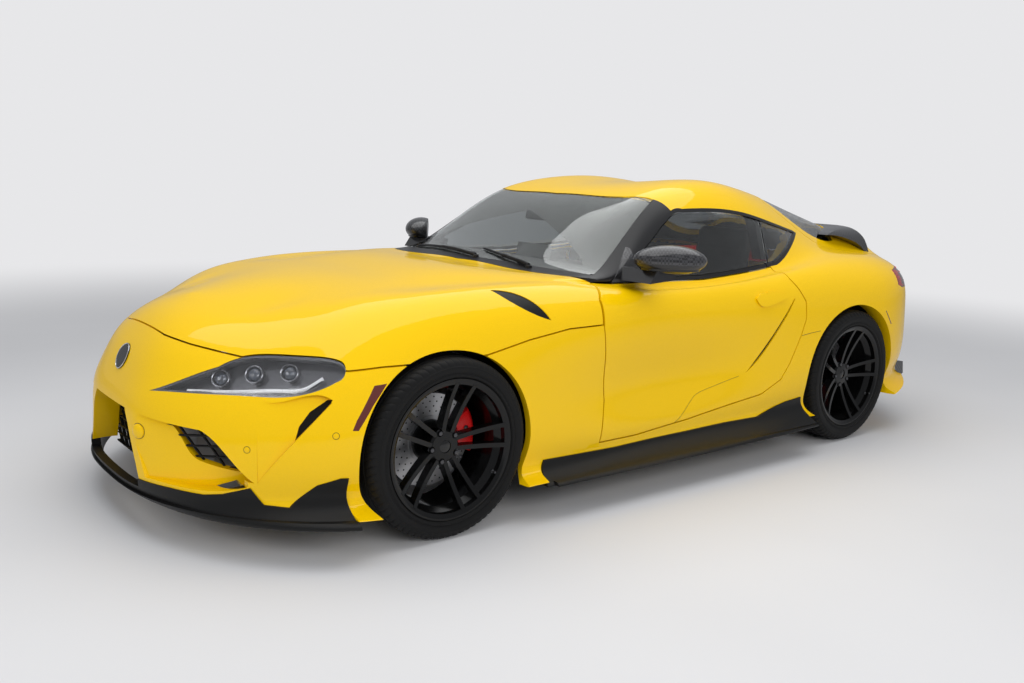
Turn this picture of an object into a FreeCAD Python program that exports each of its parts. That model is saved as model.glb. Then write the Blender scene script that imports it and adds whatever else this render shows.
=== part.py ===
import FreeCAD, Part
import math
import os

# Two-seat sports coupe, millimetres, Z up, nose towards -X, left side at -Y.
# The origin lies on the ground under the middle of the car.

# Driving sizes
length = 4379.0
width = 1854.0
height = 1292.0
wheelbase = 2470.0
front_overhang = 910.0
ride_clearance = 150.0

panel_thickness = 30.0
wall_thickness = 80.0
roof_wall = 45.0
end_wall = 98.0
glass_thickness = 6.0
glass_inset = 3.0
shut_gap = 6.0
liner_thickness = 8.0
liner_clearance = 10.0

front_tyre_radius = 330.0
rear_tyre_radius = 337.0
front_tyre_width = 252.0
rear_tyre_width = 266.0
front_wheel_y = 788.0
rear_wheel_y = 785.0
rim_radius = 257.0
arch_gap_front = 23.0
arch_gap_rear = 31.0
liner_gap = 24.0
steered_liner_gap = 49.0
steered_nudge = 7.0
wheel_well_inner = 560.0

half_width = width / 2.0
rear_overhang = length - wheelbase - front_overhang
front_axle_x = -length / 2.0 + front_overhang
rear_axle_x = front_axle_x + wheelbase
floor_top = ride_clearance + 30.0
far = 1300.0
V = FreeCAD.Vector


# Body measures are taken behind the front axle, out from the middle and up from the
# ground on a car of the sizes above, and stretched with the driving sizes from there.
def at_x(x):
    if x < 0.0:
        return front_axle_x + x * front_overhang / 910.0
    if x < 2470.0:
        return front_axle_x + x * wheelbase / 2470.0
    return rear_axle_x + (x - 2470.0) * rear_overhang / 999.0


def at_y(y):
    return y * half_width / 933.0


def at_z(z):
    return z * height / 1291.0


# Lengthwise rails of the body skin, from the keel up to the middle of the roof, as
# station: (behind front axle, half width, height). Stations 0 to 4 fan round the nose
# and 17 to 21 round the tail.
rails = [
    {0: (-840, 0, 150), 1: (-832, 200, 150), 2: (-775, 410, 150), 3: (-640, 620, 150),
     4: (-400, 770, 150), 6: (100, 790, 150), 9: (880, 800, 150), 13: (2020, 800, 155),
     15: (2560, 800, 175), 17: (3000, 740, 230), 18: (3210, 590, 250), 19: (3330, 400, 255),
     20: (3370, 200, 258), 21: (3375, 0, 258)},
    {0: (-905, 0, 160), 1: (-890, 225, 160), 2: (-810, 480, 163), 3: (-640, 700, 168),
     4: (-410, 860, 168), 5: (-160, 895, 168), 6: (100, 905, 168), 9: (880, 895, 168),
     11: (1380, 895, 172), 13: (2020, 905, 182), 15: (2560, 905, 200), 17: (3000, 850, 250),
     18: (3240, 700, 270), 19: (3375, 480, 275), 20: (3425, 240, 278), 21: (3435, 0, 278)},
    {0: (-910, 0, 260), 1: (-893, 225, 260), 2: (-812, 485, 262), 3: (-640, 705, 270),
     4: (-410, 870, 280), 5: (-160, 905, 285), 6: (100, 915, 285), 9: (880, 890, 262),
     11: (1380, 880, 270), 13: (2020, 905, 300), 15: (2560, 922, 330), 17: (3000, 865, 350),
     18: (3265, 710, 355), 19: (3405, 485, 360), 20: (3455, 240, 362), 21: (3463, 0, 362)},
    {0: (-905, 0, 420), 1: (-890, 225, 420), 2: (-800, 480, 420), 3: (-630, 700, 430),
     4: (-400, 870, 440), 5: (-160, 908, 445), 6: (100, 918, 450), 9: (880, 850, 440),
     11: (1380, 838, 440), 13: (2020, 905, 460), 15: (2560, 927, 480), 17: (3000, 872, 480),
     18: (3270, 715, 485), 19: (3412, 485, 490), 20: (3462, 240, 495), 21: (3469, 0, 495)},
    {0: (-875, 0, 520), 1: (-858, 225, 520), 2: (-765, 470, 525), 3: (-600, 670, 555),
     4: (-385, 830, 600), 5: (-150, 880, 615), 6: (100, 900, 620), 9: (880, 868, 600),
     11: (1380, 858, 600), 13: (2020, 900, 620), 15: (2560, 925, 640), 17: (3000, 868, 640),
     18: (3255, 710, 640), 19: (3395, 480, 645), 20: (3448, 240, 648), 21: (3455, 0, 648)},
    {0: (-840, 0, 605), 1: (-815, 225, 608), 2: (-710, 455, 618), 3: (-540, 640, 660),
     4: (-350, 760, 720), 5: (-130, 820, 755), 6: (100, 855, 770), 9: (880, 865, 760),
     11: (1380, 862, 760), 13: (2020, 885, 780), 15: (2560, 905, 795), 17: (3000, 850, 790),
     18: (3215, 700, 785), 19: (3355, 475, 782), 20: (3410, 240, 780), 21: (3420, 0, 780)},
    {0: (-805, 0, 660), 1: (-775, 225, 664), 2: (-650, 440, 682), 3: (-480, 590, 732),
     4: (-310, 690, 795), 5: (-110, 735, 835), 6: (100, 760, 862), 8: (640, 795, 858),
     9: (880, 805, 842), 11: (1380, 805, 836), 12: (1700, 806, 850), 13: (2020, 806, 878),
     15: (2560, 800, 905), 17: (3000, 760, 880), 18: (3180, 640, 872), 19: (3325, 440, 882),
     20: (3385, 220, 890), 21: (3395, 0, 892)},
    {0: (-770, 0, 704), 1: (-725, 215, 710), 2: (-590, 410, 732), 3: (-430, 530, 780),
     4: (-260, 610, 832), 6: (100, 650, 868), 8: (640, 722, 880), 9: (880, 742, 862),
     11: (1380, 740, 856), 12: (1700, 737, 871), 13: (2020, 722, 902), 15: (2560, 670, 945),
     17: (3000, 640, 920), 18: (3140, 570, 915), 19: (3285, 400, 950), 20: (3345, 200, 965),
     21: (3355, 0, 968)},
    {0: (-720, 0, 745), 1: (-660, 200, 750), 2: (-510, 370, 775), 3: (-360, 460, 815),
     4: (-200, 510, 850), 6: (100, 530, 874), 8: (640, 650, 893), 9: (860, 695, 905),
     10: (1080, 628, 1045), 11: (1350, 585, 1172), 12: (1700, 592, 1182), 13: (2020, 575, 1150),
     14: (2300, 545, 1082), 15: (2560, 520, 1020), 16: (2800, 500, 975), 17: (3000, 500, 960),
     18: (3120, 470, 965), 19: (3240, 350, 1005), 20: (3290, 180, 1020), 21: (3300, 0, 1024)},
    {0: (-660, 0, 778), 1: (-580, 160, 784), 2: (-430, 270, 805), 3: (-290, 300, 842),
     4: (-140, 310, 868), 6: (100, 320, 889), 8: (500, 330, 905), 9: (725, 340, 912),
     10: (990, 350, 1062), 11: (1290, 345, 1216), 12: (1700, 330, 1291), 13: (2020, 310, 1272),
     14: (2300, 290, 1230), 15: (2560, 270, 1172), 16: (2800, 270, 1110), 17: (2960, 280, 1060),
     18: (3070, 280, 1030), 19: (3160, 210, 1025), 20: (3205, 100, 1032), 21: (3215, 0, 1036)},
    {0: (-590, 0, 808), 1: (-510, 0, 822), 2: (-390, 0, 845), 3: (-260, 0, 865),
     4: (-110, 0, 880), 6: (100, 0, 894), 8: (480, 0, 908), 9: (690, 0, 914),
     10: (960, 0, 1066), 11: (1260, 0, 1222), 12: (1700, 0, 1272), 13: (2020, 0, 1250),
     14: (2300, 0, 1208), 15: (2560, 0, 1152), 16: (2800, 0, 1092), 17: (2940, 0, 1052),
     18: (3030, 0, 1026), 19: (3095, 0, 1020), 20: (3125, 0, 1022), 21: (3135, 0, 1024)},
]
stations = 22
pull_rounds = 3


def rail_points(rail):
    keys = sorted(rail)
    curve = Part.BSplineCurve()
    curve.interpolate(Points=[V(*rail[k]) for k in keys], Parameters=[float(k) for k in keys])
    points = []
    for k in range(stations):
        p = curve.value(float(k))
        side = 0.0 if k in (0, stations - 1) else p.y
        points.append(V(at_x(p.x), -at_y(side), at_z(p.z)))
    return points


def knots_of(count):
    return list(range(count - 2)), [4] + [1] * (count - 4) + [4]


def greville(count):
    flat = [0] * 3 + list(range(count - 2)) + [count - 3] * 3
    return [sum(flat[i + 1:i + 4]) / 3.0 for i in range(count)]


def net_surface(poles):
    uk, um = knots_of(len(poles))
    vk, vm = knots_of(len(poles[0]))
    surface = Part.BSplineSurface()
    surface.buildFromPolesMultsKnots(poles, um, vm, uk, vk, False, False, 3, 3)
    return surface


# Poles are moved out until the skin passes through the rail points.
def pulled(points):
    poles = [list(row) for row in points]
    us, vs = greville(len(points)), greville(len(points[0]))
    for _ in range(pull_rounds):
        surface = net_surface(poles)
        for i, u in enumerate(us):
            for j, v in enumerate(vs):
                poles[i][j] = poles[i][j] + points[i][j] - surface.value(u, v)
    return poles


# The rails of the left half, with one more under the floor's middle to close it.
def body_points():
    rows = [rail_points(rail) for rail in rails]
    floor = [V(p.x, 0.0, p.z) for p in rows[0]]
    floor[0].x += 60.0
    floor[-1].x -= 60.0
    for row in rows:
        row[0].y = 0.0
        row[-1].y = 0.0
    for p in rows[-1]:
        p.y = 0.0
    return [floor] + rows


# Rail points moved in square to the skin. The rows under the sills move level, and the
# floor rows sink so that a shell cut from two skins is open underneath.
def inset_points(points, inset):
    surface = net_surface(pulled(points))
    us, vs = greville(len(points)), greville(len(points[0]))
    moved = []
    for i, u in enumerate(us):
        row = []
        for j, v in enumerate(vs):
            p = points[i][j]
            normal = surface.normal(u, v)
            if i < 4:
                normal.z = 0.0
            if p.y == 0.0:
                normal.y = 0.0
            if normal.Length > 1e-6:
                normal.normalize()
            middle = V(max(min(p.x, 700.0), -900.0), 0.0, p.z if i < 4 else 300.0)
            if normal.dot(p - middle) < 0.0:
                normal = normal * -1.0
            depth = inset if 3 < j < 17 else min(inset, 36.0)
            q = p - normal * depth
            if i < 2:
                q = V(p.x, min(q.y, 0.0), p.z - 60.0 - inset)
            row.append(q)
        moved.append(row)
    return moved


skins = {}


# One closed solid of the whole body, its skin moved in by the inset.
def skin(inset):
    if inset not in skins:
        points = body_points()
        if inset:
            points = inset_points(points, inset)
        skins[inset] = body_through(points)
    return skins[inset]


# The inside of the thick walls: the skin drawn in towards the middle of the cabin.
def inner_skin(gap=0.0):
    along = 1.0 - 2.0 * (end_wall + gap) / length
    across = 1.0 - (wall_thickness + gap) / half_width
    upright = 1.0 - 2.0 * (roof_wall + gap) / height
    level = at_z(520)
    points = [[V(along * p.x, across * p.y, level + upright * (p.z - level)) for p in row]
              for row in body_points()]
    return body_through(points)


# The rows and stations next to the middle are level with it, so that the two halves
# meet smoothly.
def body_through(points):
    poles = pulled(points)
    poles.insert(len(poles) - 1, [V(c.x, 0.4 * r.y, c.z) for c, r in zip(poles[-1], poles[-2])])
    for row in poles:
        row.insert(1, V(row[0].x, 0.45 * row[1].y, row[0].z))
        row.insert(len(row) - 1, V(row[-1].x, 0.45 * row[-2].y, row[-1].z))
    left = net_surface(poles).toShape()
    shell = Part.Shell([left, mirrored(left)])
    shell.sewShape()
    solid = Part.Solid(shell)
    if solid.Volume < 0.0:
        solid.reverse()
    return solid


def mirrored(shape):
    return shape.mirror(V(0, 0, 0), V(0, 1, 0))


def both_sides(shape):
    return Part.makeCompound([shape, mirrored(shape)])


def block(x0, x1, y0, y1, z0, z1):
    return Part.makeBox(x1 - x0, y1 - y0, z1 - z0, V(x0, y0, z0))


def drum(radius, x, y_from, y_to, z):
    return Part.makeCylinder(radius, y_to - y_from, V(x, y_from, z), V(0, 1, 0))


def rod(start, end, radius):
    axis = end - start
    return Part.makeCylinder(radius, axis.Length, start, axis)


# A closed outline of straight runs and, for a run of more than two points, one smooth
# curve. Each run starts where the last one ended.
def outline(runs):
    edges = []
    for run in runs:
        if len(run) == 2:
            edges.append(Part.makeLine(run[0], run[1]))
        else:
            curve = Part.BSplineCurve()
            curve.interpolate(run)
            edges.append(curve.toShape())
    start, end = runs[0][0], runs[-1][-1]
    if (start - end).Length > 1e-6:
        edges.append(Part.makeLine(end, start))
    return Part.Face(Part.Wire(edges))


def joined_runs(runs):
    out = []
    last = None
    for run in runs:
        points = list(run)
        if last is not None and (points[0] - last).Length > 1e-6:
            points = [last] + points if len(run) == 1 else points
            if len(run) > 1:
                out.append([last, points[0]])
        if len(points) > 1:
            out.append(points)
        last = points[-1]
    return out


# Side outlines are (behind front axle, height) and run across the car, plan outlines
# (behind front axle, side), front outlines (side, height).
def side_cut(runs, y_from=-far, y_to=far):
    face = outline(joined_runs([[V(at_x(x), y_from, at_z(z)) for x, z in run] for run in runs]))
    return face.extrude(V(0, y_to - y_from, 0))


def plan_cut(runs, z_from=0.0, z_to=1500.0):
    face = outline(joined_runs([[V(at_x(x), at_y(y), z_from) for x, y in run] for run in runs]))
    return face.extrude(V(0, 0, z_to - z_from))


def front_cut(runs, x_from, x_to):
    face = outline(joined_runs([[V(x_from, at_y(y), at_z(z)) for y, z in run] for run in runs]))
    return face.extrude(V(x_to - x_from, 0, 0))


def flip(runs):
    return [[(x, -y) for x, y in reversed(run)] for run in reversed(runs)]


# A cut made along one direction through an outline of points lying on the skin.
def through(runs, direction, ahead=250.0, behind=250.0):
    way = direction.normalize()
    flat = []
    for run in runs:
        flat.append([V(at_x(x), at_y(y), at_z(z)) for x, y, z in run])
    start = flat[0][0]
    flat = [[p - way * way.dot(p - start) for p in run] for run in flat]
    face = outline(joined_runs(flat))
    face.translate(way * -behind)
    return face.extrude(way * (ahead + behind))


# Shut lines, as a tidy row of corner points seen from the side
bonnet_front = [(-1100, 790), (-772, 702), (-764, 688), (-722, 674), (-663, 662), (-615, 653)]
bonnet_side = [(-364, 631), (-262, 640), (-158, 642), (151, 652), (346, 690), (549, 715), (736, 716)]
bonnet_back = [(741, 814), (786, 873), (700, 905), (650, 1000), (-1100, 1000)]
wing_back = [(736, 716), (756, 576), (766, 408), (735, 236), (735, 150)]
door_edge = [(736, 708), (741, 814), (786, 873), (883, 865), (1471, 857), (1589, 864), (1735, 874),
             (1890, 887), (1978, 897), (1982, 847), (2009, 812), (2057, 741), (2061, 653), (2032, 578),
             (2022, 558), (1965, 450), (1905, 372), (1835, 341), (1774, 314), (1623, 296),
             (1283, 255), (958, 233), (735, 236), (766, 408), (756, 576)]
window_edge = [[(883, 865), (1471, 857)], [(1471, 857), (1589, 864), (1735, 874), (1890, 887), (2032, 901)],
               [(2032, 901), (2142, 939), (2232, 978), (2346, 1022), (2398, 1040)],
               [(2364, 1053), (2230, 1080), (2081, 1110), (1913, 1143), (1720, 1164), (1578, 1167),
                (1442, 1163)], [(1442, 1163), (1398, 1164), (1365, 1153), (1276, 1102)],
               [(1276, 1102), (1055, 968), (956, 915), (883, 865)]]
glass_edge = [[(915, 877), (1471, 871)], [(1471, 871), (1589, 878), (1735, 888), (1890, 902), (2028, 916)],
              [(2028, 916), (2134, 953), (2224, 991), (2330, 1032), (2362, 1040)],
              [(2340, 1046), (2222, 1068), (2076, 1096), (1911, 1128), (1720, 1147), (1578, 1150),
               (1442, 1147)], [(1442, 1147), (1400, 1147), (1370, 1137), (1284, 1090)],
              [(1284, 1090), (1064, 957), (968, 906), (915, 877)]]
pillar_line = [(1949, 860), (2030, 1140)]
roof_side = 560
hatch_front = 2240


# Plan outlines of the windscreen, of the black frame round it, and of the rear window
def screen_edge():
    base = [(690, 0), (702, -250), (735, -480), (815, -708)]
    header = [(1310, -558), (1268, -480), (1228, -260), (1215, 0)]
    left = [base, [base[-1], header[0]], header]
    return left + flip(left)


def frame_edge():
    base = [(640, 0), (644, -300), (664, -566), (792, -737)]
    post = [(792, -737), (883, -790), (1398, -640)]
    header = [(1310, -558), (1268, -480), (1228, -260), (1215, 0)]
    left = [base, post[:2], post[1:], [(1398, -640), (1310, -558)], header]
    return left + flip(left)


def hatch_edge():
    half = [(hatch_front, 0), (hatch_front, -470), (2700, -590), (3000, -600), (3130, -590), (3500, -560)]
    left = [[a, b] for a, b in zip(half, half[1:])]
    return left + [[(3500, -560), (3500, 560)]] + flip(left)


def hatch_glass_edge():
    left = [[(2286, 0), (2290, -300), (2300, -425)], [(2300, -425), (2700, -505), (2860, -480)],
            [(2860, -480), (2925, -300), (2935, 0)]]
    return left + flip(left)


def flat_polygon(pairs, grow=0.0):
    corners = [V(at_x(x), 0.0, at_z(z)) for x, z in pairs]
    wire = Part.makePolygon(corners + corners[:1])
    if grow:
        wire = wire.makeOffset2D(grow, 2)
    face = Part.Face(wire)
    face.translate(V(0, -far, 0))
    return face.extrude(V(0, 2 * far, 0))


def shell(upper, lower):
    return skin(upper).cut(skin(lower))


# A slice of the skin between two depths inside a cutting shape.
def layer(upper, lower, region):
    return skin(upper).common(region).cut(skin(lower))


left_half = block(-2600, 2600, -far, 0, -100, 1500)


def largest(shape):
    return max(shape.Solids, key=lambda solid: solid.Volume)


def wheel_cuts():
    cuts = {}
    for name, x, radius, gap, spare in (
            ("front", front_axle_x, front_tyre_radius, arch_gap_front, steered_liner_gap),
            ("rear", rear_axle_x, rear_tyre_radius, arch_gap_rear, liner_gap)):
        cuts[name + "_arch"] = both_sides(drum(radius + gap, x, -far, -wheel_well_inner, radius))
        cuts[name + "_well"] = both_sides(drum(radius + gap + spare, x, -far, -wheel_well_inner, radius))
    cuts["steered_arch"] = cuts["front_arch"].translated(V(-steered_nudge, 0, 0))
    return cuts


# Headlamps. The clear cover lies in the skin; a black bowl behind it holds three round
# lamps and one bent light strip along its lower edge.
lamp_way = V(-0.62, -0.66, 0.42)
lamp_edge = [[(-846, 288, 515), (-812, 353, 542), (-755, 426, 582), (-681, 495, 621)],
             [(-681, 495, 621), (-605, 549, 658), (-527, 637, 670), (-457, 715, 671),
              (-393, 770, 664), (-369, 793, 649), (-366, 802, 634), (-400, 804, 594)],
             [(-400, 804, 594), (-454, 782, 568), (-536, 731, 547), (-634, 638, 543),
              (-747, 492, 535), (-846, 288, 515)]]
lamp_strip = [(-774, 438, 541), (-690, 560, 552), (-590, 665, 566), (-507, 744, 574), (-440, 772, 612)]
lamp_rounds = [(-690, 508, 590), (-610, 600, 612), (-525, 690, 626)]
lamp_round_radius = 31.0


def left_points(points):
    return [(x, -y, z) for x, y, z in points]


def lamp_region():
    return through([left_points(run) for run in lamp_edge], V(lamp_way), 200, 200)


def make_headlamps(parts):
    region = lamp_region()
    outer = skin(0.0)
    way = V(lamp_way).normalize()
    cover_back = outer.translated(way * -5.0)
    bowl_back = outer.translated(way * -72.0)
    parts["headlamps"] = both_sides(outer.common(region).cut(cover_back))
    bowl = cover_back.common(region).cut(bowl_back)
    hollow = region.translated(V(9, 9, 2)).common(region.translated(V(-9, -9, -4)))
    bowl = bowl.cut(hollow.common(outer).cut(outer.translated(way * -60.0)))
    curve = Part.BSplineCurve()
    curve.interpolate([V(at_x(x), at_y(-y), at_z(z)) - way * 22.0 for x, y, z in lamp_strip])
    path = Part.Wire(curve.toShape())
    ring = Part.Wire(Part.makeCircle(6.0, path.Edges[0].valueAt(0), path.Edges[0].tangentAt(0)))
    bowl = bowl.fuse(path.makePipeShell([ring], True, False))
    for x, y, z in lamp_rounds:
        foot = V(at_x(x), at_y(-y), at_z(z)) - way * 66.0
        eye = Part.makeCylinder(lamp_round_radius, 40, foot, way)
        eye = eye.cut(Part.makeSphere(lamp_round_radius + 6, foot + way * 60.0))
        bowl = bowl.fuse(eye)
    parts["headlamp_units"] = both_sides(bowl)
    return both_sides(region)


# Front bumper. Its lower edge follows the lip; the side intakes are scooped out by the
# body's own skin turned about an upright line beside the middle opening.
intake_pivot = (-884, -262)
intake_turn = 11.0
intake_way = V(-0.77, -0.64, 0.0)
intake_edge = [[(-893, -262, 436), (-837, -405, 430), (-766, -537, 424)],
               [(-766, -537, 424), (-741, -577, 400), (-693, -647, 322), (-645, -703, 257)],
               [(-645, -703, 257), (-707, -650, 232), (-839, -445, 222), (-893, -262, 216)]]
intake_hole = [[(-837, -405, 421), (-760, -545, 421)],
               [(-760, -545, 421), (-735, -588, 392), (-690, -650, 318), (-650, -698, 262)],
               [(-650, -698, 262), (-707, -638, 272), (-787, -523, 304)],
               [(-787, -523, 304), (-808, -480, 341), (-825, -437, 402), (-837, -405, 421)]]
middle_hole = [(-170, 438), (-205, 389), (-246, 292), (-288, 205), (-288, 150)]
middle_depth = 95.0
lip_line = [(-1000, 203), (-839, 211), (-767, 207), (-722, 216), (-655, 244), (-622, 190),
            (-557, 185), (-481, 262), (-415, 285), (-391, 284)]
scoop_edge = [[(-612, -665, 536), (-536, -731, 540), (-454, -782, 560), (-417, -812, 545)],
              [(-417, -812, 545), (-490, -795, 464), (-540, -765, 400), (-640, -706, 262)],
              [(-640, -706, 262), (-612, -665, 536)]]
scoop_turn = 8.0
vent_edge = [(-436, -803, 540), (-491, -784, 502), (-525, -773, 454), (-535, -768, 408),
             (-490, -795, 464), (-419, -813, 538)]
bar_pitch = 36.0
bar_width = 5.0


def through_corners(points, direction, ahead, behind):
    closed = list(points) + [points[0]]
    return through([[a, b] for a, b in zip(closed, closed[1:])], direction, ahead, behind)


# Crossing bars of one flat insert: level bars and slanted ones, square to the X axis.
def lattice(depth, half, z_from, z_to, slant):
    rise = z_to - z_from
    shift = rise * math.tan(math.radians(slant))
    bars = [block(0.0, depth, -half, half, z_from + k * bar_pitch, z_from + k * bar_pitch + bar_width)
            for k in range(int(rise / bar_pitch) + 1)]
    side = V(0, bar_width, 0)
    for k in range(int((2 * half + shift) / (1.6 * bar_pitch)) + 1):
        low = V(0.0, -half - shift + 1.6 * k * bar_pitch, z_from)
        top = low + V(0, shift, rise)
        bar = Part.Face(Part.makePolygon([low, low + side, top + side, top, low]))
        bars.append(bar.extrude(V(depth, 0, 0)))
    return bars[0].fuse(bars[1:])


def scooped(panel, outer, hollow, region, around, step):
    backing = outer.common(around).cut(hollow.translated(step))
    return panel.fuse(backing).cut(region.cut(hollow))


def middle_opening():
    half = middle_hole + [(-y, z) for y, z in reversed(middle_hole)]
    pairs = [[a, b] for a, b in zip(half, half[1:])]
    wider = [[(1.12 * y, z + 18) for y, z in run] for run in pairs]
    x_to = at_x(-880) + middle_depth
    return front_cut(pairs, at_x(-1000), x_to), front_cut(wider, at_x(-1000), x_to)


def make_front_bumper(parts, cuts, lamps):
    outer = skin(0.0).common(block(-2600, at_x(100), -far, 0, -100, 1400))
    nose = flat_polygon([(-1100, 790)] + bonnet_front[1:] + bonnet_side[:3] + [(147, 120), (-1100, 120)])
    nose = nose.common(block(-2600, front_axle_x - 100.0, -far, 0, 0, 1400))
    below = flat_polygon(lip_line + [(-391, 60), (-1000, 60)])
    opening, wider = middle_opening()
    bumper = outer.common(nose).cut(skin(panel_thickness))

    turned = outer.copy()
    turned.rotate(V(at_x(intake_pivot[0]), at_y(intake_pivot[1]), 0), V(0, 0, 1), intake_turn)
    recess = through(intake_edge, V(intake_way), 250, 150)
    around = block(at_x(-905), at_x(-610), at_y(-735), at_y(-235), 180, 470)
    bumper = scooped(bumper, outer, turned, recess, around, V(24, 22, 0))
    hole = through(intake_hole, V(intake_way), 250, 200)

    tilted = outer.copy()
    low, high = V(at_x(-655), at_y(-690), at_z(262)), V(at_x(-600), at_y(-675), at_z(545))
    tilted.rotate(low, low - high, -scoop_turn)
    scoop = through(scoop_edge, V(-0.6, -0.8, 0), 250, 150)
    around = block(at_x(-660), at_x(-395), at_y(-840), at_y(-650), 235, 575)
    bumper = scooped(bumper, outer, tilted, scoop, around, V(18, 22, 0))
    vent = through_corners(vent_edge, V(-0.6, -0.8, 0), 250, 150)

    frame = outer.common(wider).cut(outer.translated(V(middle_depth, 0, 0)))
    bumper = bumper.fuse(frame).cut([hole, vent, opening, below, lamps, cuts["steered_arch"]])
    parts["front_bumper"] = bumper.fuse(mirrored(bumper))

    middle = lattice(12.0, 290.0, 190.0, 440.0, 35.0)
    middle.translate(V(at_x(-880) + middle_depth - 14, 0, 0))
    side = lattice(12.0, 210.0, 240.0, 430.0, 35.0)
    side.rotate(V(0, 0, 0), V(0, 0, 1), 50)
    side.translate(V(at_x(-700), at_y(-520), 0))
    side = side.common(hole).common(skin(16.0))
    net = tilted.translated(V(10, 12, 0)).common(vent).cut(tilted.translated(V(16, 20, 0)))
    inserts = [middle.common(opening), side, mirrored(side), net, mirrored(net)]
    parts["grilles"] = Part.makeCompound(inserts)
    make_splitter(parts, below, opening, cuts)
    parts["badge_disc"] = badge()


# Black lip under the nose: a flush band up to the bumper's lower edge and a thin foot
# that stands out further.
def make_splitter(parts, below, opening, cuts):
    foot = block(-2500, at_x(-391), -far, 0, ride_clearance - 24, ride_clearance + 4)
    band = skin(-4.0).common(below).common(block(-2500, at_x(-391), -far, 0, ride_clearance, 600))
    lip = band.fuse(skin(-20.0).common(foot)).cut(skin(26.0))
    lip = lip.cut([opening.common(block(-2600, 0, -far, far, ride_clearance + 30, 600)),
                   cuts["front_arch"]])
    parts["front_splitter"] = lip.fuse(mirrored(lip))


def badge():
    centre = V(at_x(-850), 0, at_z(589))
    facing = V(-0.92, 0, 0.39)
    disc = Part.makeCylinder(50, 60, centre - facing * 30, facing)
    return disc.common(skin(-4.0)).cut(skin(0.0))


# Outer panels, doors and glass
def make_bonnet(parts, cuts, lamps):
    region = flat_polygon(bonnet_front + bonnet_side + bonnet_back, -shut_gap)
    raised = lamps.fuse(lamps.translated(V(0, 0, shut_gap)))
    frame = plan_cut(frame_edge())
    frame = frame.fuse(frame.translated(V(-shut_gap, 0, 0)))
    blade = both_sides(through([left_points(run) for run in blade_edge], V(-0.1, -0.6, 0.8), 120, 120))
    bonnet = layer(0.0, panel_thickness, region)
    bonnet = bonnet.cut([cuts["front_arch"], cuts["steered_arch"], raised, frame, blade])
    parts["bonnet"] = bonnet
    parts["bonnet_vents"] = layer(3.0, 22.0, blade)


blade_edge = [[(248, 766, 868), (299, 780, 865), (386, 826, 834), (462, 873, 751)],
              [(462, 873, 751), (412, 868, 769), (312, 834, 819), (248, 766, 868)]]
marker_edge = [(-250, -859, 591), (-294, -849, 587), (-364, -855, 478), (-379, -855, 446),
               (-360, -862, 445), (-306, -864, 524)]
rear_marker_edge = [(2716, -923, 660), (2724, -923, 660), (2794, -920, 585), (2784, -920, 585)]


def make_wings(parts, cuts, below):
    region = flat_polygon(bonnet_side[3:] + wing_back[1:] + [(147, 120)])
    parts["front_wings"] = layer(0.0, panel_thickness, region).cut([cuts["front_arch"], below])


def make_side_frames(parts, cuts, below):
    nose = flat_polygon([(-1200, 0), (650, 0), (650, 1400), (-1200, 1400)])
    bonnet = flat_polygon([(-1100, 790)] + bonnet_front[1:] + bonnet_side + bonnet_back)
    wing = flat_polygon(bonnet_side[3:] + wing_back + [(147, 120)])
    tail = flat_polygon([(2930, 0), (2930, 862), (3600, 862), (3600, 0)])
    floor = block(-2500, 2500, -far, far, 0, floor_top)
    core = block(-2500, 2500, -wheel_well_inner, wheel_well_inner, 0, at_z(480))
    roof = plan_cut(box_runs(1150, hatch_front + 60, roof_side), 900.0)
    door = flat_polygon(door_edge)
    frame = plan_cut(frame_edge())
    marker = through_corners(rear_marker_edge, V(-0.1, -1, 0), 80, 60)
    side = skin(0.0).cut([door, side_cut(window_edge), bonnet, frame, roof, plan_cut(hatch_edge(), 820.0),
                          cuts["rear_arch"], tail_lamp_region(), nose, wing, tail, floor, core,
                          below, marker])
    parts["side_frame_left"] = largest(side.common(left_half).cut(inner_skin()))
    parts["side_frame_right"] = mirrored(parts["side_frame_left"])


def box_runs(x0, x1, half):
    corners = [(x0, -half), (x1, -half), (x1, half), (x0, half), (x0, -half)]
    return [[a, b] for a, b in zip(corners, corners[1:])]


# The doors step inwards towards the cabin so that they swing clear of the body.
def make_doors(parts, below):
    region = flat_polygon(door_edge, -shut_gap).common(left_half)
    edge = skin(panel_thickness).common(region).cut(flat_polygon(door_edge, -door_step))
    door = skin(0.0).common(region).cut([edge, inner_skin()])
    recess = through(handle_edge, V(-0.1, -1, 0.1), 80, 60)
    slot = through(slot_edge, V(-0.1, -1, 0), 80, 60)
    pull = layer(-handle_stand, 6.0, recess)
    door = door.cut(recess.cut(skin(14.0))).fuse(pull).cut(slot.cut(skin(16.0)))
    parts["door_left"] = largest(door.cut(below))
    parts["door_right"] = mirrored(parts["door_left"])
    strip = layer(0.0, 10.0, belt_strip()).common(left_half)
    insert = layer(9.0, 16.0, slot).common(left_half)
    parts["door_trim_left"] = Part.makeCompound([strip, insert])
    parts["door_trim_right"] = mirrored(parts["door_trim_left"])


door_step = 20.0
handle_stand = 9.0
handle_edge = [[(1694, -878, 772), (1722, -873, 738), (1800, -872, 736), (1880, -870, 752)],
               [(1880, -870, 752), (1906, -868, 776), (1870, -862, 792), (1780, -862, 792)],
               [(1780, -862, 792), (1730, -866, 790), (1694, -878, 772)]]
slot_edge = [[(1978, -882, 762), (1913, -880, 676), (1852, -878, 600), (1732, -872, 470), (1668, -861, 427)],
             [(1668, -861, 427), (1722, -872, 479), (1840, -878, 609), (1901, -880, 682), (1966, -882, 757)],
             [(1966, -882, 757), (1978, -882, 762)]]


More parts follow.
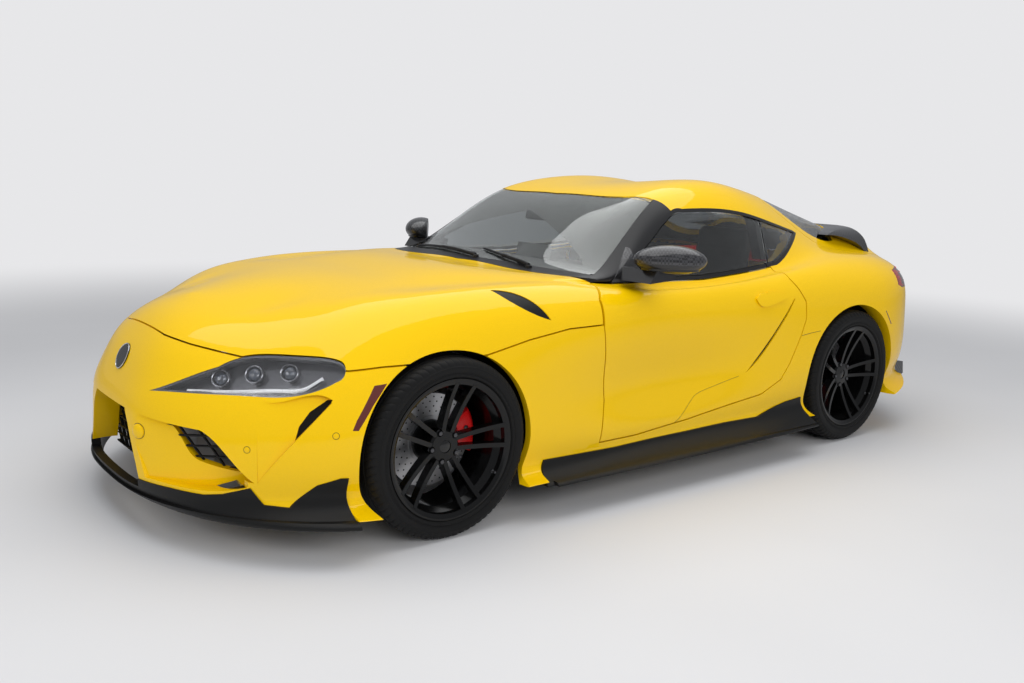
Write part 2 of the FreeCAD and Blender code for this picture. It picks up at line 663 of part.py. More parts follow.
def belt_strip():
    ring = side_cut(window_edge).cut(side_cut(glass_edge))
    ahead = side_cut([[(800, 800), (pillar_line[0][0] - 3, 800)],
                      [(pillar_line[0][0] - 3, 800), (pillar_line[0][0] - 3, 906)],
                      [(pillar_line[0][0] - 3, 906), (1589, 882), (1471, 873)],
                      [(1471, 873), (915, 879)], [(915, 879), (875, 862)], [(875, 862), (800, 862)]])
    return ring.common(ahead)


def make_windows(parts):
    glass = shell(glass_inset, glass_inset + glass_thickness)
    half = glass.common(left_half)
    region = side_cut(glass_edge)
    x_low = pillar_line[0][0]
    x_top, z_top = pillar_line[1]
    ahead = side_cut([[(0, 800), (x_low - 3, 800)], [(x_low - 3, 800), (x_top - 3, z_top + 80)],
                      [(x_top - 3, z_top + 80), (0, z_top + 80)]])
    door_glass = half.common(region).common(region.translated(V(0, 0, -shut_gap)))
    door_glass = door_glass.common(region.translated(V(shut_gap, 0, 0))).common(ahead)
    parts["door_window_left"] = door_glass
    parts["door_window_right"] = mirrored(door_glass)
    parts["quarter_windows"] = both_sides(half.common(region).cut(ahead.translated(V(shut_gap, 0, 0))))
    parts["windscreen"] = glass.common(plan_cut(screen_edge()))
    parts["tailgate_window"] = glass.common(plan_cut(hatch_glass_edge(), 820.0))
    ring = side_cut(window_edge).cut([region, belt_strip()])
    band = layer(0.0, 16.0, ring).common(left_half)
    post = ahead.translated(V(34, 0, 0)).cut(ahead.translated(V(-28, 0, 0))).common(side_cut(window_edge))
    post = layer(16.0, 60.0, post).common(left_half).common(block(-2600, 2600, -far, 0, at_z(925), 1400))
    lower = block(-2600, at_x(pillar_line[0][0] + 3), -far, 0, 0, at_z(912))
    parts["window_trim"] = both_sides(band.fuse(post).cut(lower))


def make_roof(parts):
    frame = plan_cut(frame_edge())
    screen = plan_cut(screen_edge())
    window = side_cut(window_edge)
    door = flat_polygon(door_edge)
    hatch = plan_cut(hatch_edge(), 820.0)
    posts = layer(0.0, panel_thickness, frame)
    swing = both_sides(block(at_x(800), at_x(925), at_y(-765), at_y(-600), at_z(840), at_z(872)))
    parts["windscreen_frame"] = largest(posts.cut([screen, window, door, swing]))
    roof = plan_cut(box_runs(1150, hatch_front + 60, roof_side), 900.0)
    parts["roof"] = layer(0.0, panel_thickness, roof).cut([frame, screen, hatch, parts["window_trim"]])


# Tail. The tailgate runs down to the bumper between the lamps.
tail_lamp_edge = [(2890, 858), (3100, 872), (3300, 868), (3500, 860), (3500, 800), (3300, 775),
                  (3100, 762), (2930, 768), (2872, 785)]
tail_split = (862, 868)


def tail_lamp_region():
    return flat_polygon(tail_lamp_edge).cut(block(-2600, 2600, at_y(-330), at_y(330), 0, 1400))


def make_tail(parts, cuts):
    lamp = tail_lamp_region()
    lower = flat_polygon([(2900, 0), (2900, tail_split[1]), (3600, tail_split[1]), (3600, 0)])
    edge = [run[0] for run in hatch_edge()]
    corners = [V(at_x(x), at_y(y), 820.0) for x, y in edge]
    wire = Part.makePolygon(corners + corners[:1]).makeOffset2D(-shut_gap, 2)
    region = Part.Face(wire).extrude(V(0, 0, 700))
    window = plan_cut(hatch_glass_edge(), 820.0)
    parts["tailgate"] = layer(0.0, panel_thickness, region).cut([window, lamp, lower])
    region = flat_polygon([(2930, 0), (2930, tail_split[0]), (3600, tail_split[0]), (3600, 0)])
    bumper = layer(0.0, panel_thickness, region).cut([lamp, cuts["rear_arch"]])
    middle = flat_polygon([(2900, 120), (2960, 150), (3040, 330), (3300, 368), (3500, 368), (3500, 120)])
    middle = middle.common(block(-2600, 2600, at_y(-640), at_y(640), 0, 600))
    pipes = [Part.makeCylinder(53, 400, V(at_x(3290), y, at_z(300)), V(1, 0, 0)) for y in (-430, 430)]
    parts["rear_bumper"] = largest(bumper.cut(middle))
    diffuser = layer(-4.0, 24.0, middle)
    fins = []
    for y in (-240, -80, 80, 240):
        fin = side_cut([[(3060, 190), (3440, 215)], [(3440, 215), (3440, 345)], [(3440, 345), (3060, 320)]],
                       y - 5.0, y + 5.0)
        fins.append(fin)
    diffuser = diffuser.fuse(fins).cut(pipes)
    corner = side_cut([[(2990, 205), (3050, 199)], [(3050, 199), (3186, 258)], [(3186, 258), (3173, 326)],
                       [(3173, 326), (3070, 338)]], at_y(-802), at_y(-778))
    corner = largest(corner.cut(skin(-1.0)).cut(parts["rear_bumper"]))
    parts["rear_diffuser"] = Part.makeCompound([diffuser, corner, mirrored(corner)])
    parts["tail_lamps"] = layer(0.0, panel_thickness, lamp)
    parts["exhaust"] = both_sides(exhaust_tip(-430))
    parts["rear_spoiler"] = spoiler()


def exhaust_tip(y):
    centre = V(at_x(3240), y, at_z(300))
    long_x = at_x(3452) - at_x(3240)
    tip = Part.makeCylinder(50, long_x, centre, V(1, 0, 0))
    return tip.cut(Part.makeCylinder(45, long_x, centre + V(12, 0, 0), V(1, 0, 0)))


spoiler_side = [[(2736, 1022), (2823, 1017), (2934, 994), (3016, 964), (3070, 925), (3096, 905)],
                [(3096, 905), (3112, 918)],
                [(3112, 918), (3082, 985), (3052, 1040), (3030, 1062), (3004, 1066)],
                [(3004, 1066), (2900, 1050), (2800, 1036), (2736, 1022)]]
spoiler_end = [[(-558, 860), (-556, 940), (-530, 1015), (-480, 1052), (-400, 1066), (-200, 1078), (0, 1082)],
               [(0, 1082), (0, 860)]]


# A ducktail that lies on the tailgate in the middle and stands clear of it at its ends
def spoiler():
    body = side_cut(spoiler_side, at_y(-560), 0.0)
    body = body.common(front_cut(spoiler_end, at_x(2700), at_x(3200)))
    body = body.cut(skin(0.0))
    return largest(body.fuse(mirrored(body)))


# Sills under the doors, with a kick-up ahead of the rear wheels
skirt_side = [(395, 140), (435, 219), (831, 205), (1268, 207), (1533, 212), (1756, 211), (1889, 243),
              (1966, 258), (2082, 269), (2110, 140)]


def make_skirts(parts, cuts):
    region = flat_polygon(skirt_side).common(left_half)
    foot = block(at_x(435), at_x(2100), -far, 0, ride_clearance - 10, ride_clearance + 4)
    skirt = skin(-6.0).common(region).fuse(skin(-20.0).common(foot)).cut(skin(26.0))
    skirt = skirt.cut([cuts["front_arch"], cuts["rear_arch"]])
    parts["side_skirts"] = both_sides(skirt)
    return flat_polygon(skirt_side)


def make_markers(parts):
    front = layer(0.0, 8.0, through_corners(marker_edge, V(-0.1, -1, 0), 80, 60))
    rear = layer(0.0, 8.0, through_corners(rear_marker_edge, V(-0.1, -1, 0), 80, 60))
    parts["side_markers"] = Part.makeCompound([front, mirrored(front), rear, mirrored(rear)])


# Wheels are turned about the Y axis at the origin with the outer face towards -Y, and
# then moved to their axles.
rim_step = 14.0
barrel_wall = 8.0
hub_radius = 62.0
hub_face = 8.0
bore_radius = 24.0
lug_count = 5
lug_circle = 56.0
lug_hole_radius = 12.5
spoke_pairs = 5
spoke_width = 17.0
spoke_spread = 6.2
spoke_offset = 20.0
first_pair_angle = 85.0
disc_radius = 174.0
disc_thickness = 30.0
disc_y = 52.0
spindle_radius = 20.0
pin_radius = 8.0
pin_gap = 2.0
kingpin_y = 710.0
front_tower_top = 760.0
rear_tower_top = 685.0


def revolve(pairs):
    points = [V(0.0, y, r) for r, y in pairs]
    return Part.Face(Part.makePolygon(points + [points[0]])).revolve(V(0, 0, 0), V(0, 1, 0), 360)


def make_tyre(radius, tyre_width):
    w = tyre_width / 2.0
    bead = rim_radius - rim_step
    side = [(bead, -w + 22), (bead + 12, -w + 10), (bead + 34, -w + 2), (radius - 40, -w),
            (radius - 18, -w + 5), (radius - 5, -w + 16), (radius, -w + 34)]
    section = side + [(r, -y) for r, y in reversed(side)]
    hollow = [(bead, w - 36), (radius - 22, w - 14), (radius - 12, w - 30), (radius - 12, -w + 30),
              (radius - 22, -w + 14), (bead, -w + 36)]
    return revolve(section + hollow)


def make_spoke(w, side):
    far_r = rim_radius - 18.0
    front = [V(0, -w + 62, hub_radius - 14), V(0, -w + 54, 110), V(0, -w + 36, 180), V(0, -w + 12, far_r)]
    back = [V(0, -w + 46, far_r), V(0, -w + 70, 180), V(0, -w + 92, 110), V(0, -w + 104, hub_radius - 14)]
    face = outline(joined_runs([front, [front[-1], back[0]], back]))
    bar = face.extrude(V(spoke_width, 0, 0))
    bar.translate(V(-spoke_width / 2.0, 0, 0))
    bar.rotate(V(0, 0, hub_radius), V(0, 1, 0), side * spoke_spread)
    bar.translate(V(side * spoke_offset, 0, 0))
    return bar


def make_rim(tyre_width):
    w = tyre_width / 2.0
    lip = w - 8.0
    seat = rim_radius - rim_step
    well = seat - 18.0
    upper = [(rim_radius, -lip), (rim_radius, -lip + 8), (seat, -lip + 10), (seat, -w + 38),
             (well, -w + 60), (well, w - 60), (seat, w - 38), (seat, lip - 10),
             (rim_radius, lip - 8), (rim_radius, lip)]
    lower = [(r - barrel_wall, y) for r, y in reversed(upper[2:-2])]
    lower = [(rim_radius - 6, lip), (seat - barrel_wall, lip - 8)] + lower[1:-1]
    lower += [(seat - barrel_wall, -lip + 8), (rim_radius - 6, -lip)]
    rim = revolve(upper + lower)
    hub = revolve([(bore_radius, -w + 58), (hub_radius - 8, -w + 60), (hub_radius, -w + 68),
                   (hub_radius + 4, -w + 96), (hub_radius + 16, hub_face + 10),
                   (hub_radius + 16, hub_face + 26), (bore_radius, hub_face + 26)])
    spokes = []
    for k in range(spoke_pairs):
        for side in (-1.0, 1.0):
            spoke = make_spoke(w, side)
            spoke.rotate(V(0, 0, 0), V(0, 1, 0), first_pair_angle + 360.0 / spoke_pairs * k)
            spokes.append(spoke)
    rim = rim.fuse([hub] + spokes)
    holes = []
    for k in range(lug_count):
        a = math.radians(first_pair_angle) + 2 * math.pi * (k + 0.5) / lug_count
        x, z = lug_circle * math.sin(a), lug_circle * math.cos(a)
        holes.append(Part.makeCylinder(lug_hole_radius, 200, V(x, -100, z), V(0, 1, 0)))
    cap = Part.makeCylinder(bore_radius, 12, V(0, -w + 62, 0), V(0, 1, 0))
    return rim.cut(holes).fuse(cap)


def make_disc():
    hat = disc_radius * 0.52
    face = hub_face + 26.0
    return revolve([(bore_radius, face), (hat, face), (hat, disc_y - disc_thickness / 2),
                    (disc_radius, disc_y - disc_thickness / 2), (disc_radius, disc_y + disc_thickness / 2),
                    (hat - 6, disc_y + disc_thickness / 2), (hat - 6, face + 8), (bore_radius, face + 8)])


def make_caliper(forward):
    ring = revolve([(112, disc_y - 38), (178, disc_y - 38), (190, disc_y - 28), (190, disc_y + 28),
                    (178, disc_y + 38), (112, disc_y + 38)])
    slot = revolve([(100, disc_y - 20), (disc_radius + 4, disc_y - 20),
                    (disc_radius + 4, disc_y + 20), (100, disc_y + 20)])
    wedge = Part.Face(Part.makePolygon([V(0, -300, 0), V(300, -300, 190), V(300, -300, -110), V(0, -300, 0)]))
    wedge = wedge.extrude(V(0, 600, 0))
    if forward:
        wedge = wedge.mirror(V(0, 0, 0), V(1, 0, 0))
    return ring.cut(slot).common(wedge)


def make_wheels(parts):
    for name, x, y, r, w in (
            ("front", front_axle_x, front_wheel_y, front_tyre_radius, front_tyre_width),
            ("rear", rear_axle_x, rear_wheel_y, rear_tyre_radius, rear_tyre_width)):
        rim = make_rim(w)
        pieces = {"tyre": make_tyre(r, w).cut(rim), "rim": rim, "brake_disc": make_disc()}
        for key, shape in pieces.items():
            shape.translate(V(x, -y, r))
            parts[key + "_" + name + "_left"] = shape
            parts[key + "_" + name + "_right"] = mirrored(shape)
    front = make_caliper(False)
    front.translate(V(front_axle_x, -front_wheel_y, front_tyre_radius))
    parts["caliper_front_left"] = front
    parts["caliper_front_right"] = mirrored(front)
    rear = make_caliper(True)
    rear.translate(V(rear_axle_x, -rear_wheel_y, rear_tyre_radius))
    parts["rear_calipers"] = both_sides(rear)


# Uprights, arms, dampers and steering pins. A front upright turns on two pins; a rear one
# is held fast.
def make_running_gear(parts, cuts):
    k = kingpin_y
    for name, x, r, y, s, top in (
            ("front", front_axle_x, front_tyre_radius, front_wheel_y, 1, at_z(front_tower_top)),
            ("rear", rear_axle_x, rear_tyre_radius, rear_wheel_y, -1, at_z(rear_tower_top))):
        upright = block(x - 35, x + 35, -k - 2, -k + 34, r - 100, r + 120)
        spindle = drum(spindle_radius, x, -y + hub_face - 60, -k + 20, r)
        arm = block(min(x + s * 20, x + s * 150), max(x + s * 20, x + s * 150), -y + disc_y + 38,
                    -y + disc_y + 56, r - 30, r + 60)
        knuckle = upright.fuse([spindle, arm])
        end = 12 - k if name == "front" else -k - 3
        lower = block(x - 28, x + 28, end, -380, r - 135, r - 110)
        upper = block(x - 24, x + 24, end, -380, r + 125, r + 145)
        rail = block(x - 140, x + 140, -400, -350, floor_top, r + 150)
        damper = Part.makeCylinder(24, top - r + 110, V(x, -500, r - 110), V(0, 0, 1))
        spring = Part.makeCylinder(52, 150, V(x, -500, top - 170), V(0, 0, 1))
        gear = lower.fuse([upper, rail, damper, spring])
        if name == "front":
            pins = [Part.makeCylinder(pin_radius, 50, V(x, -k, z), V(0, 0, 1)) for z in (r - 120, r + 85)]
            bores = [Part.makeCylinder(pin_radius + pin_gap, 60, V(x, -k, z), V(0, 0, 1))
                     for z in (r - 120, r + 75)]
            parts["knuckle_left"] = knuckle.cut(bores)
            parts["knuckle_right"] = mirrored(parts["knuckle_left"])
            for z0, z1 in ((r - 135, r - 110), (r + 125, r + 145)):
                pins.append(block(x - pin_radius, x + pin_radius, -k, end + 1, z0, z1))
                pins.append(Part.makeCylinder(pin_radius, z1 - z0, V(x, -k, z0)))
            gear = gear.fuse(pins)
        else:
            tower = block(x - 35, x + 35, -k - 2, -k + 34, r - 135, r + 145)
            gear = gear.fuse([knuckle, tower])
        parts[name + "_suspension"] = both_sides(gear)


# Floor pan with tunnel, bulkheads, load floor and wheel arch liners
def make_underbody(parts, cuts):
    nose = skin(panel_thickness + liner_clearance)
    inner = inner_skin(liner_clearance)
    half = wheel_well_inner
    plate = skin(0.0).common(block(at_x(-360), at_x(2900), at_y(-770), at_y(770),
                                   ride_clearance, floor_top))
    steered = both_sides(block(front_axle_x - 300, front_axle_x + 300, -far, -500, 0, 400))
    plate = plate.cut([cuts["front_well"], cuts["rear_well"], steered, parts["side_skirts"]])
    tunnel = block(at_x(630), at_x(2130), -150, 150, floor_top, at_z(360)).cut(
        block(at_x(600), at_x(2100), -130, 130, 0, at_z(340)))
    front = nose.common(block(at_x(600), at_x(625), -far, far, floor_top, 1400)).cut(cuts["front_well"])
    rear = inner.common(block(at_x(2110), at_x(2130), -far, far, floor_top, at_z(620))).cut(cuts["rear_well"])
    load = inner.common(block(at_x(2110), at_x(2880), -half, half, at_z(700), at_z(718)))
    riser = block(at_x(2110), at_x(2130), -half, half, at_z(600), at_z(710))
    tail = inner.common(block(at_x(2880), at_x(2900), -half, half, floor_top, at_z(718)))
    parts["underbody"] = largest(plate.fuse([tunnel, front, rear, load, riser, tail]))
    liners = []
    for x, r, gap, limit in ((front_axle_x, front_tyre_radius, arch_gap_front + steered_liner_gap, nose),
                             (rear_axle_x, rear_tyre_radius, arch_gap_rear + liner_gap, inner)):
        big = r + gap
        ring = drum(big, x, -1000, -half, r).cut(drum(big - liner_thickness, x, -1100, -half + 100, r))
        ring = ring.cut(block(-2600, 2600, -far, far, -200, floor_top))
        liners.append(largest(ring.common(limit).cut(parts["front_bumper"])))
    parts["wheel_liners"] = Part.makeCompound(liners + [mirrored(s) for s in liners])
    engine = block(at_x(-60), at_x(560), -220, 220, floor_top, at_z(740))
    radiator = block(at_x(-700), at_x(-640), -330, 330, floor_top + 40, at_z(560))
    parts["engine"] = Part.makeCompound([engine, radiator])


# Cabin
wheel_x, wheel_y, wheel_z = 1330.0, -370.0, 790.0
column_tilt = 24.0
seat_side = 370.0
seat_foot = 180.3


def make_cabin(parts):
    dash = side_cut([[(625.3, 560), (625.3, 720)], [(625.3, 720), (740, 800), (900, 862)],
                     [(900, 862), (1040, 872), (1120, 856), (1150, 800)],
                     [(1150, 800), (1130, 690), (1060, 600)], [(1060, 600), (900, 575)],
                     [(900, 575), (625.3, 560)]])
    dash = dash.common(inner_skin(2.0 * liner_clearance))
    under = side_cut([[(640, 500), (900, 560)], [(900, 560), (1010, 600), (1080, 690)],
                      [(1080, 690), (1000, 790), (860, 800)], [(860, 800), (660, 640)],
                      [(660, 640), (640, 500)]], -600, 600)
    console = side_cut([[(1040, 362), (1040, 640)], [(1040, 640), (1180, 590), (1440, 520)],
                        [(1440, 520), (1450, 362)]], -110, 110)
    column = V(at_x(wheel_x), at_y(wheel_y), at_z(wheel_z))
    a = math.radians(column_tilt)
    axis = V(math.cos(a), 0, math.sin(a))
    shroud = Part.makeCylinder(34, 230, column - axis * 300, axis)
    clear = Part.makeCylinder(23, 240, column - axis * 165, axis)
    hood = side_cut([[(1000, 850), (1080, 905), (1150, 890)], [(1150, 890), (1150, 800)],
                     [(1150, 800), (1000, 800)]],
                    at_y(wheel_y) - 150, at_y(wheel_y) + 150)
    body = dash.cut(under).fuse([console.cut(parts["underbody"]), hood])
    body = body.cut(Part.makeCylinder(30, 300, column - axis * 310, axis)).fuse(shroud).cut(clear)
    parts["dashboard"] = body
    parts["seats"] = both_sides(seat(-seat_side).cut(parts["underbody"]))
    parts["steering_wheel"] = steering_wheel(column, axis)


def steering_wheel(centre, axis):
    a = math.radians(column_tilt)
    ring = Part.makeTorus(176, 14, centre, axis)
    hub = Part.makeCylinder(58, 36, centre - axis * 28, axis)
    shaft = Part.makeCylinder(18, 150, centre - axis * 160, axis)
    wheel = ring.fuse([hub, shaft])
    down = V(math.sin(a), 0, -math.cos(a))
    for way in (V(0, 1, 0), V(0, -1, 0), down):
        wheel = wheel.fuse(rod(centre - axis * 8 + way * 30, centre - axis * 4 + way * 172, 11))
    return wheel


# A bucket seat: cushion and back in one, with raised side bolsters and a head part
def seat(y):
    middle = side_cut([[(1440, seat_foot), (1430, 350)], [(1430, 350), (1480, 386), (1650, 370), (1850, 352)],
                       [(1850, 352), (1900, 520), (1950, 720), (1990, 900)],
                       [(1990, 900), (2012, 1000), (2038, 1058), (2074, 1060), (2086, 1000)],
                       [(2086, 1000), (2062, 760), (2000, 420)], [(2000, 420), (1980, seat_foot)]],
                      y - 160, y + 160)
    bolster = side_cut([[(1470, seat_foot), (1450, 360)],
                        [(1450, 360), (1480, 425), (1640, 420), (1800, 420)],
                        [(1800, 420), (1850, 600), (1900, 760), (1965, 880)], [(1965, 880), (2030, 880)],
                        [(2030, 880), (1990, 420)], [(1990, 420), (1960, seat_foot)]], y - 245, y - 145)
    return middle.fuse([bolster, bolster.translated(V(0, 390, 0))])


# Door mirrors: a long smooth pod on a foot in the corner of the window
mirror_centre = (1036, -932, 972)
mirror_size = (150.0, 74.0, 60.0)
mirror_turn = -39.7
glass_turn = -15.0
glass_depth = 34.0


def make_mirrors(parts):
    pod = Part.makeSphere(1.0)
    scale = FreeCAD.Matrix()
    scale.scale(*mirror_size)
    pod = pod.transformGeometry(scale)
    pod = pod.cut(block(-400, 400, -400, 400, -400, -mirror_size[2] * 0.86))
    back = block(-400, 400, glass_depth, 400, -400, 400)
    back.rotate(V(0, 0, 0), V(0, 0, 1), glass_turn)
    pod = pod.cut(back)
    pod.rotate(V(0, 0, 0), V(0, 0, 1), mirror_turn)
    x, y, z = mirror_centre
    centre = V(at_x(x), at_y(y), at_z(z))
    pod.translate(centre)
    arm = side_cut([[(930, 878), (1075, 888)], [(1075, 888), (1085, 928)], [(1085, 928), (965, 928)]],
                   at_y(-930), at_y(-735))
    foot = layer(-6.0, glass_inset, side_cut([[(888, 868), (1060, 872)], [(1060, 872), (1046, 1000)],
                                              [(1046, 1000), (1036, 1004)], [(1036, 1004), (888, 874)]]))
    arm = arm.cut(skin(glass_inset))
    mirror = pod.fuse([arm, foot.common(left_half)])
    mirror = mirror.cut([parts["door_left"], parts["door_window_left"], parts["windscreen_frame"],
                         parts["window_trim"]])
    parts["door_trim_left"] = parts["door_trim_left"].cut(mirror)
    parts["door_trim_right"] = mirrored(parts["door_trim_left"])
    parts["mirror_left"] = largest(mirror)
    parts["mirror_right"] = mirrored(parts["mirror_left"])


def make_wipers(parts):
    wipers = []
    for x0, y0, x1, y1 in ((690, -60, 770, 560), (700, -430, 760, -20)):
        strip = plan_cut([[(x0, y0), (x1, y1)], [(x1, y1), (x1 + 12, y1)], [(x1 + 12, y1), (x0 + 20, y0)]])
        wipers.append(layer(-14.0, glass_inset, strip))
    parts["wipers"] = Part.makeCompound(wipers).cut(parts["windscreen_frame"])


def export(parts):
    os.makedirs("parts", exist_ok=True)
    for name, shape in parts.items():
        shape.exportStep("parts/%s.step" % name)


def main():
    parts = {}
    cuts = wheel_cuts()
    lamps = make_headlamps(parts)
    make_front_bumper(parts, cuts, lamps)
    make_bonnet(parts, cuts, lamps)
    below = make_skirts(parts, cuts)
    make_markers(parts)
    parts["front_bumper"] = parts["front_bumper"].cut(parts["side_markers"])
    make_wings(parts, cuts, below)
    make_side_frames(parts, cuts, below)
    make_doors(parts, below)
    make_windows(parts)
    make_roof(parts)
    make_tail(parts, cuts)
    make_underbody(parts, cuts)
    make_wheels(parts)
    make_running_gear(parts, cuts)
    make_cabin(parts)
    make_mirrors(parts)
    make_wipers(parts)
    export(parts)


main()
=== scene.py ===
import math

import bmesh
import bpy
from mathutils import Matrix, Vector
from mathutils.bvhtree import BVHTree


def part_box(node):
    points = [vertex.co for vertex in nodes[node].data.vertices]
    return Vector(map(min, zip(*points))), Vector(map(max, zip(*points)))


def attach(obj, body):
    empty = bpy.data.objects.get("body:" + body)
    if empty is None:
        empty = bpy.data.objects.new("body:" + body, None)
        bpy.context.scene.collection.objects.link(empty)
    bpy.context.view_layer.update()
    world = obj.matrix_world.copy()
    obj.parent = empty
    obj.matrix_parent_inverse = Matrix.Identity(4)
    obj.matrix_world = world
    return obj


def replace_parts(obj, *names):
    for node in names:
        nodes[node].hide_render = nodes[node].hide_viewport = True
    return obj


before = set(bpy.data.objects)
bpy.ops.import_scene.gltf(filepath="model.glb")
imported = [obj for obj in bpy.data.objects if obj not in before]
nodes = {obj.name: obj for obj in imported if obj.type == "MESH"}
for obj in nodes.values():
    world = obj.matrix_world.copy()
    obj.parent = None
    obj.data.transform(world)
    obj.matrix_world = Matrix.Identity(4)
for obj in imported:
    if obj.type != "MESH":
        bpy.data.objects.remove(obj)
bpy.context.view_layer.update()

# Camera. It stands ahead of the car's left front corner at the photograph's place and
# angle, with the lens that gives the same perspective.
camera_at = Vector((-3.1512, -3.5495, 1.3095))
camera_yaw = math.radians(38.70)
camera_pitch = math.radians(10.21)
camera_roll = math.radians(2.15)
forward = Vector((math.sin(camera_yaw) * math.cos(camera_pitch),
                  math.cos(camera_yaw) * math.cos(camera_pitch),
                  -math.sin(camera_pitch)))
level = Vector((math.cos(camera_yaw), -math.sin(camera_yaw), 0.0))
upright = level.cross(forward)
right = math.cos(camera_roll) * level + math.sin(camera_roll) * upright
above = -math.sin(camera_roll) * level + math.cos(camera_roll) * upright
camera_data = bpy.data.cameras.new("camera")
camera_data.lens = 33.48
camera_data.sensor_width = 36.0
camera = bpy.data.objects.new("camera", camera_data)
turn = Matrix((right, above, -forward)).transposed().to_4x4()
camera.matrix_world = Matrix.Translation(camera_at) @ turn
bpy.context.collection.objects.link(camera)
bpy.context.scene.camera = camera


# Room. A pale floor and a pale surround, lit by three large soft lamps, as in a studio.
# They hang overhead, beside the car and ahead of it, and the floor fades into the surround.
surround_grey = (0.80, 0.80, 0.815, 1.0)
dimmed_grey = (0.36, 0.37, 0.39, 1.0)
fade_from, fade_to = 3.0, 9.0


def new_material(name):
    material = bpy.data.materials.new(name)
    material.use_nodes = True
    tree = material.node_tree
    tree.nodes.clear()
    out = tree.nodes.new("ShaderNodeOutputMaterial")
    return material, tree, out


def add(tree, kind, **inputs):
    node = tree.nodes.new(kind)
    for key, value in inputs.items():
        node.inputs[key.replace("_", " ")].default_value = value
    return node


floor_material, tree, out = new_material("pale_floor")
floor_shader = add(tree, "ShaderNodeBsdfPrincipled", Roughness=0.75)
grain = add(tree, "ShaderNodeTexNoise", Scale=60.0)
ramp = tree.nodes.new("ShaderNodeValToRGB")
ramp.color_ramp.elements[0].color = (0.60, 0.60, 0.61, 1)
ramp.color_ramp.elements[1].color = (0.68, 0.68, 0.69, 1)
place = tree.nodes.new("ShaderNodeNewGeometry")
reach = tree.nodes.new("ShaderNodeVectorMath")
reach.operation = "LENGTH"
fade = tree.nodes.new("ShaderNodeMapRange")
fade.interpolation_type = "SMOOTHSTEP"
fade.inputs["From Min"].default_value = fade_from
fade.inputs["From Max"].default_value = fade_to
seen_only = tree.nodes.new("ShaderNodeLightPath")
both = tree.nodes.new("ShaderNodeMath")
both.operation = "MULTIPLY"
far_floor = add(tree, "ShaderNodeEmission", Color=surround_grey)
blend = tree.nodes.new("ShaderNodeMixShader")
for source, target in (
        (grain.outputs["Fac"], ramp.inputs["Fac"]),
        (ramp.outputs["Color"], floor_shader.inputs["Base Color"]),
        (place.outputs["Position"], reach.inputs[0]), (reach.outputs["Value"], fade.inputs["Value"]),
        (fade.outputs["Result"], both.inputs[0]), (seen_only.outputs["Is Camera Ray"], both.inputs[1]),
        (both.outputs[0], blend.inputs["Fac"]), (floor_shader.outputs["BSDF"], blend.inputs[1]),
        (far_floor.outputs["Emission"], blend.inputs[2]), (blend.outputs["Shader"], out.inputs["Surface"])):
    tree.links.new(source, target)
bpy.ops.mesh.primitive_plane_add(size=90.0)
floor = bpy.context.object
floor.name = "floor"
floor.data.materials.append(floor_material)

world = bpy.data.worlds.new("studio")
world.use_nodes = True
bpy.context.scene.world = world
tree = world.node_tree
tree.nodes.clear()
out = tree.nodes.new("ShaderNodeOutputWorld")
seen = add(tree, "ShaderNodeBackground", Color=surround_grey)
lit = add(tree, "ShaderNodeBackground", Color=dimmed_grey)
path = tree.nodes.new("ShaderNodeLightPath")
mix = tree.nodes.new("ShaderNodeMixShader")
seen_or_through = tree.nodes.new("ShaderNodeMath")
seen_or_through.operation = "MAXIMUM"
tree.links.new(path.outputs["Is Camera Ray"], seen_or_through.inputs[0])
tree.links.new(path.outputs["Is Transmission Ray"], seen_or_through.inputs[1])
tree.links.new(seen_or_through.outputs[0], mix.inputs["Fac"])
tree.links.new(lit.outputs["Background"], mix.inputs[1])
tree.links.new(seen.outputs["Background"], mix.inputs[2])
tree.links.new(mix.outputs["Shader"], out.inputs["Surface"])
bpy.context.scene.view_settings.view_transform = "Standard"


def softbox(name, at, towards, wide, deep, watts, mirrored_in_paint=True):
    data = bpy.data.lights.new(name, "AREA")
    data.shape = "RECTANGLE"
    data.size = wide
    data.size_y = deep
    data.energy = watts
    lamp = bpy.data.objects.new(name, data)
    lamp.visible_glossy = mirrored_in_paint
    lamp.location = at
    lamp.rotation_euler = (Vector(towards) - Vector(at)).to_track_quat("-Z", "Y").to_euler()
    bpy.context.collection.objects.link(lamp)


softbox("overhead", (0.0, 0.0, 4.2), (0.0, 0.0, 0.0), 7.0, 5.0, 185)
softbox("near_side", (-1.5, -6.0, 3.0), (-0.3, 0.0, 0.5), 6.0, 2.0, 170, mirrored_in_paint=False)
softbox("front", (-6.5, -1.5, 2.8), (-1.8, 0.0, 0.5), 3.0, 2.0, 70, mirrored_in_paint=False)


# Painted panels. Steel and aluminium skins in a solid yellow under clear lacquer, which
# keeps a faint unevenness. What faces the cabin is covered by black cloth and moulding.
crease_angle, weld_reach = 30.0, 0.00005


def even_shading(node):
    obj = nodes[node]
    if "custom_normal" in obj.data.attributes:
        obj.data.attributes.remove(obj.data.attributes["custom_normal"])
    for polygon in obj.data.polygons:
        polygon.use_smooth = True
    weld = obj.modifiers.new("weld", "WELD")
    weld.merge_threshold = weld_reach
    split = obj.modifiers.new("edges", "EDGE_SPLIT")
    split.split_angle = math.radians(crease_angle)
    return obj


def dress(names, material):
    for name in names:
        obj = even_shading(name)
        if not obj.data.materials:
            obj.data.materials.append(material)
        for k in range(len(obj.data.materials)):
            obj.data.materials[k] = material


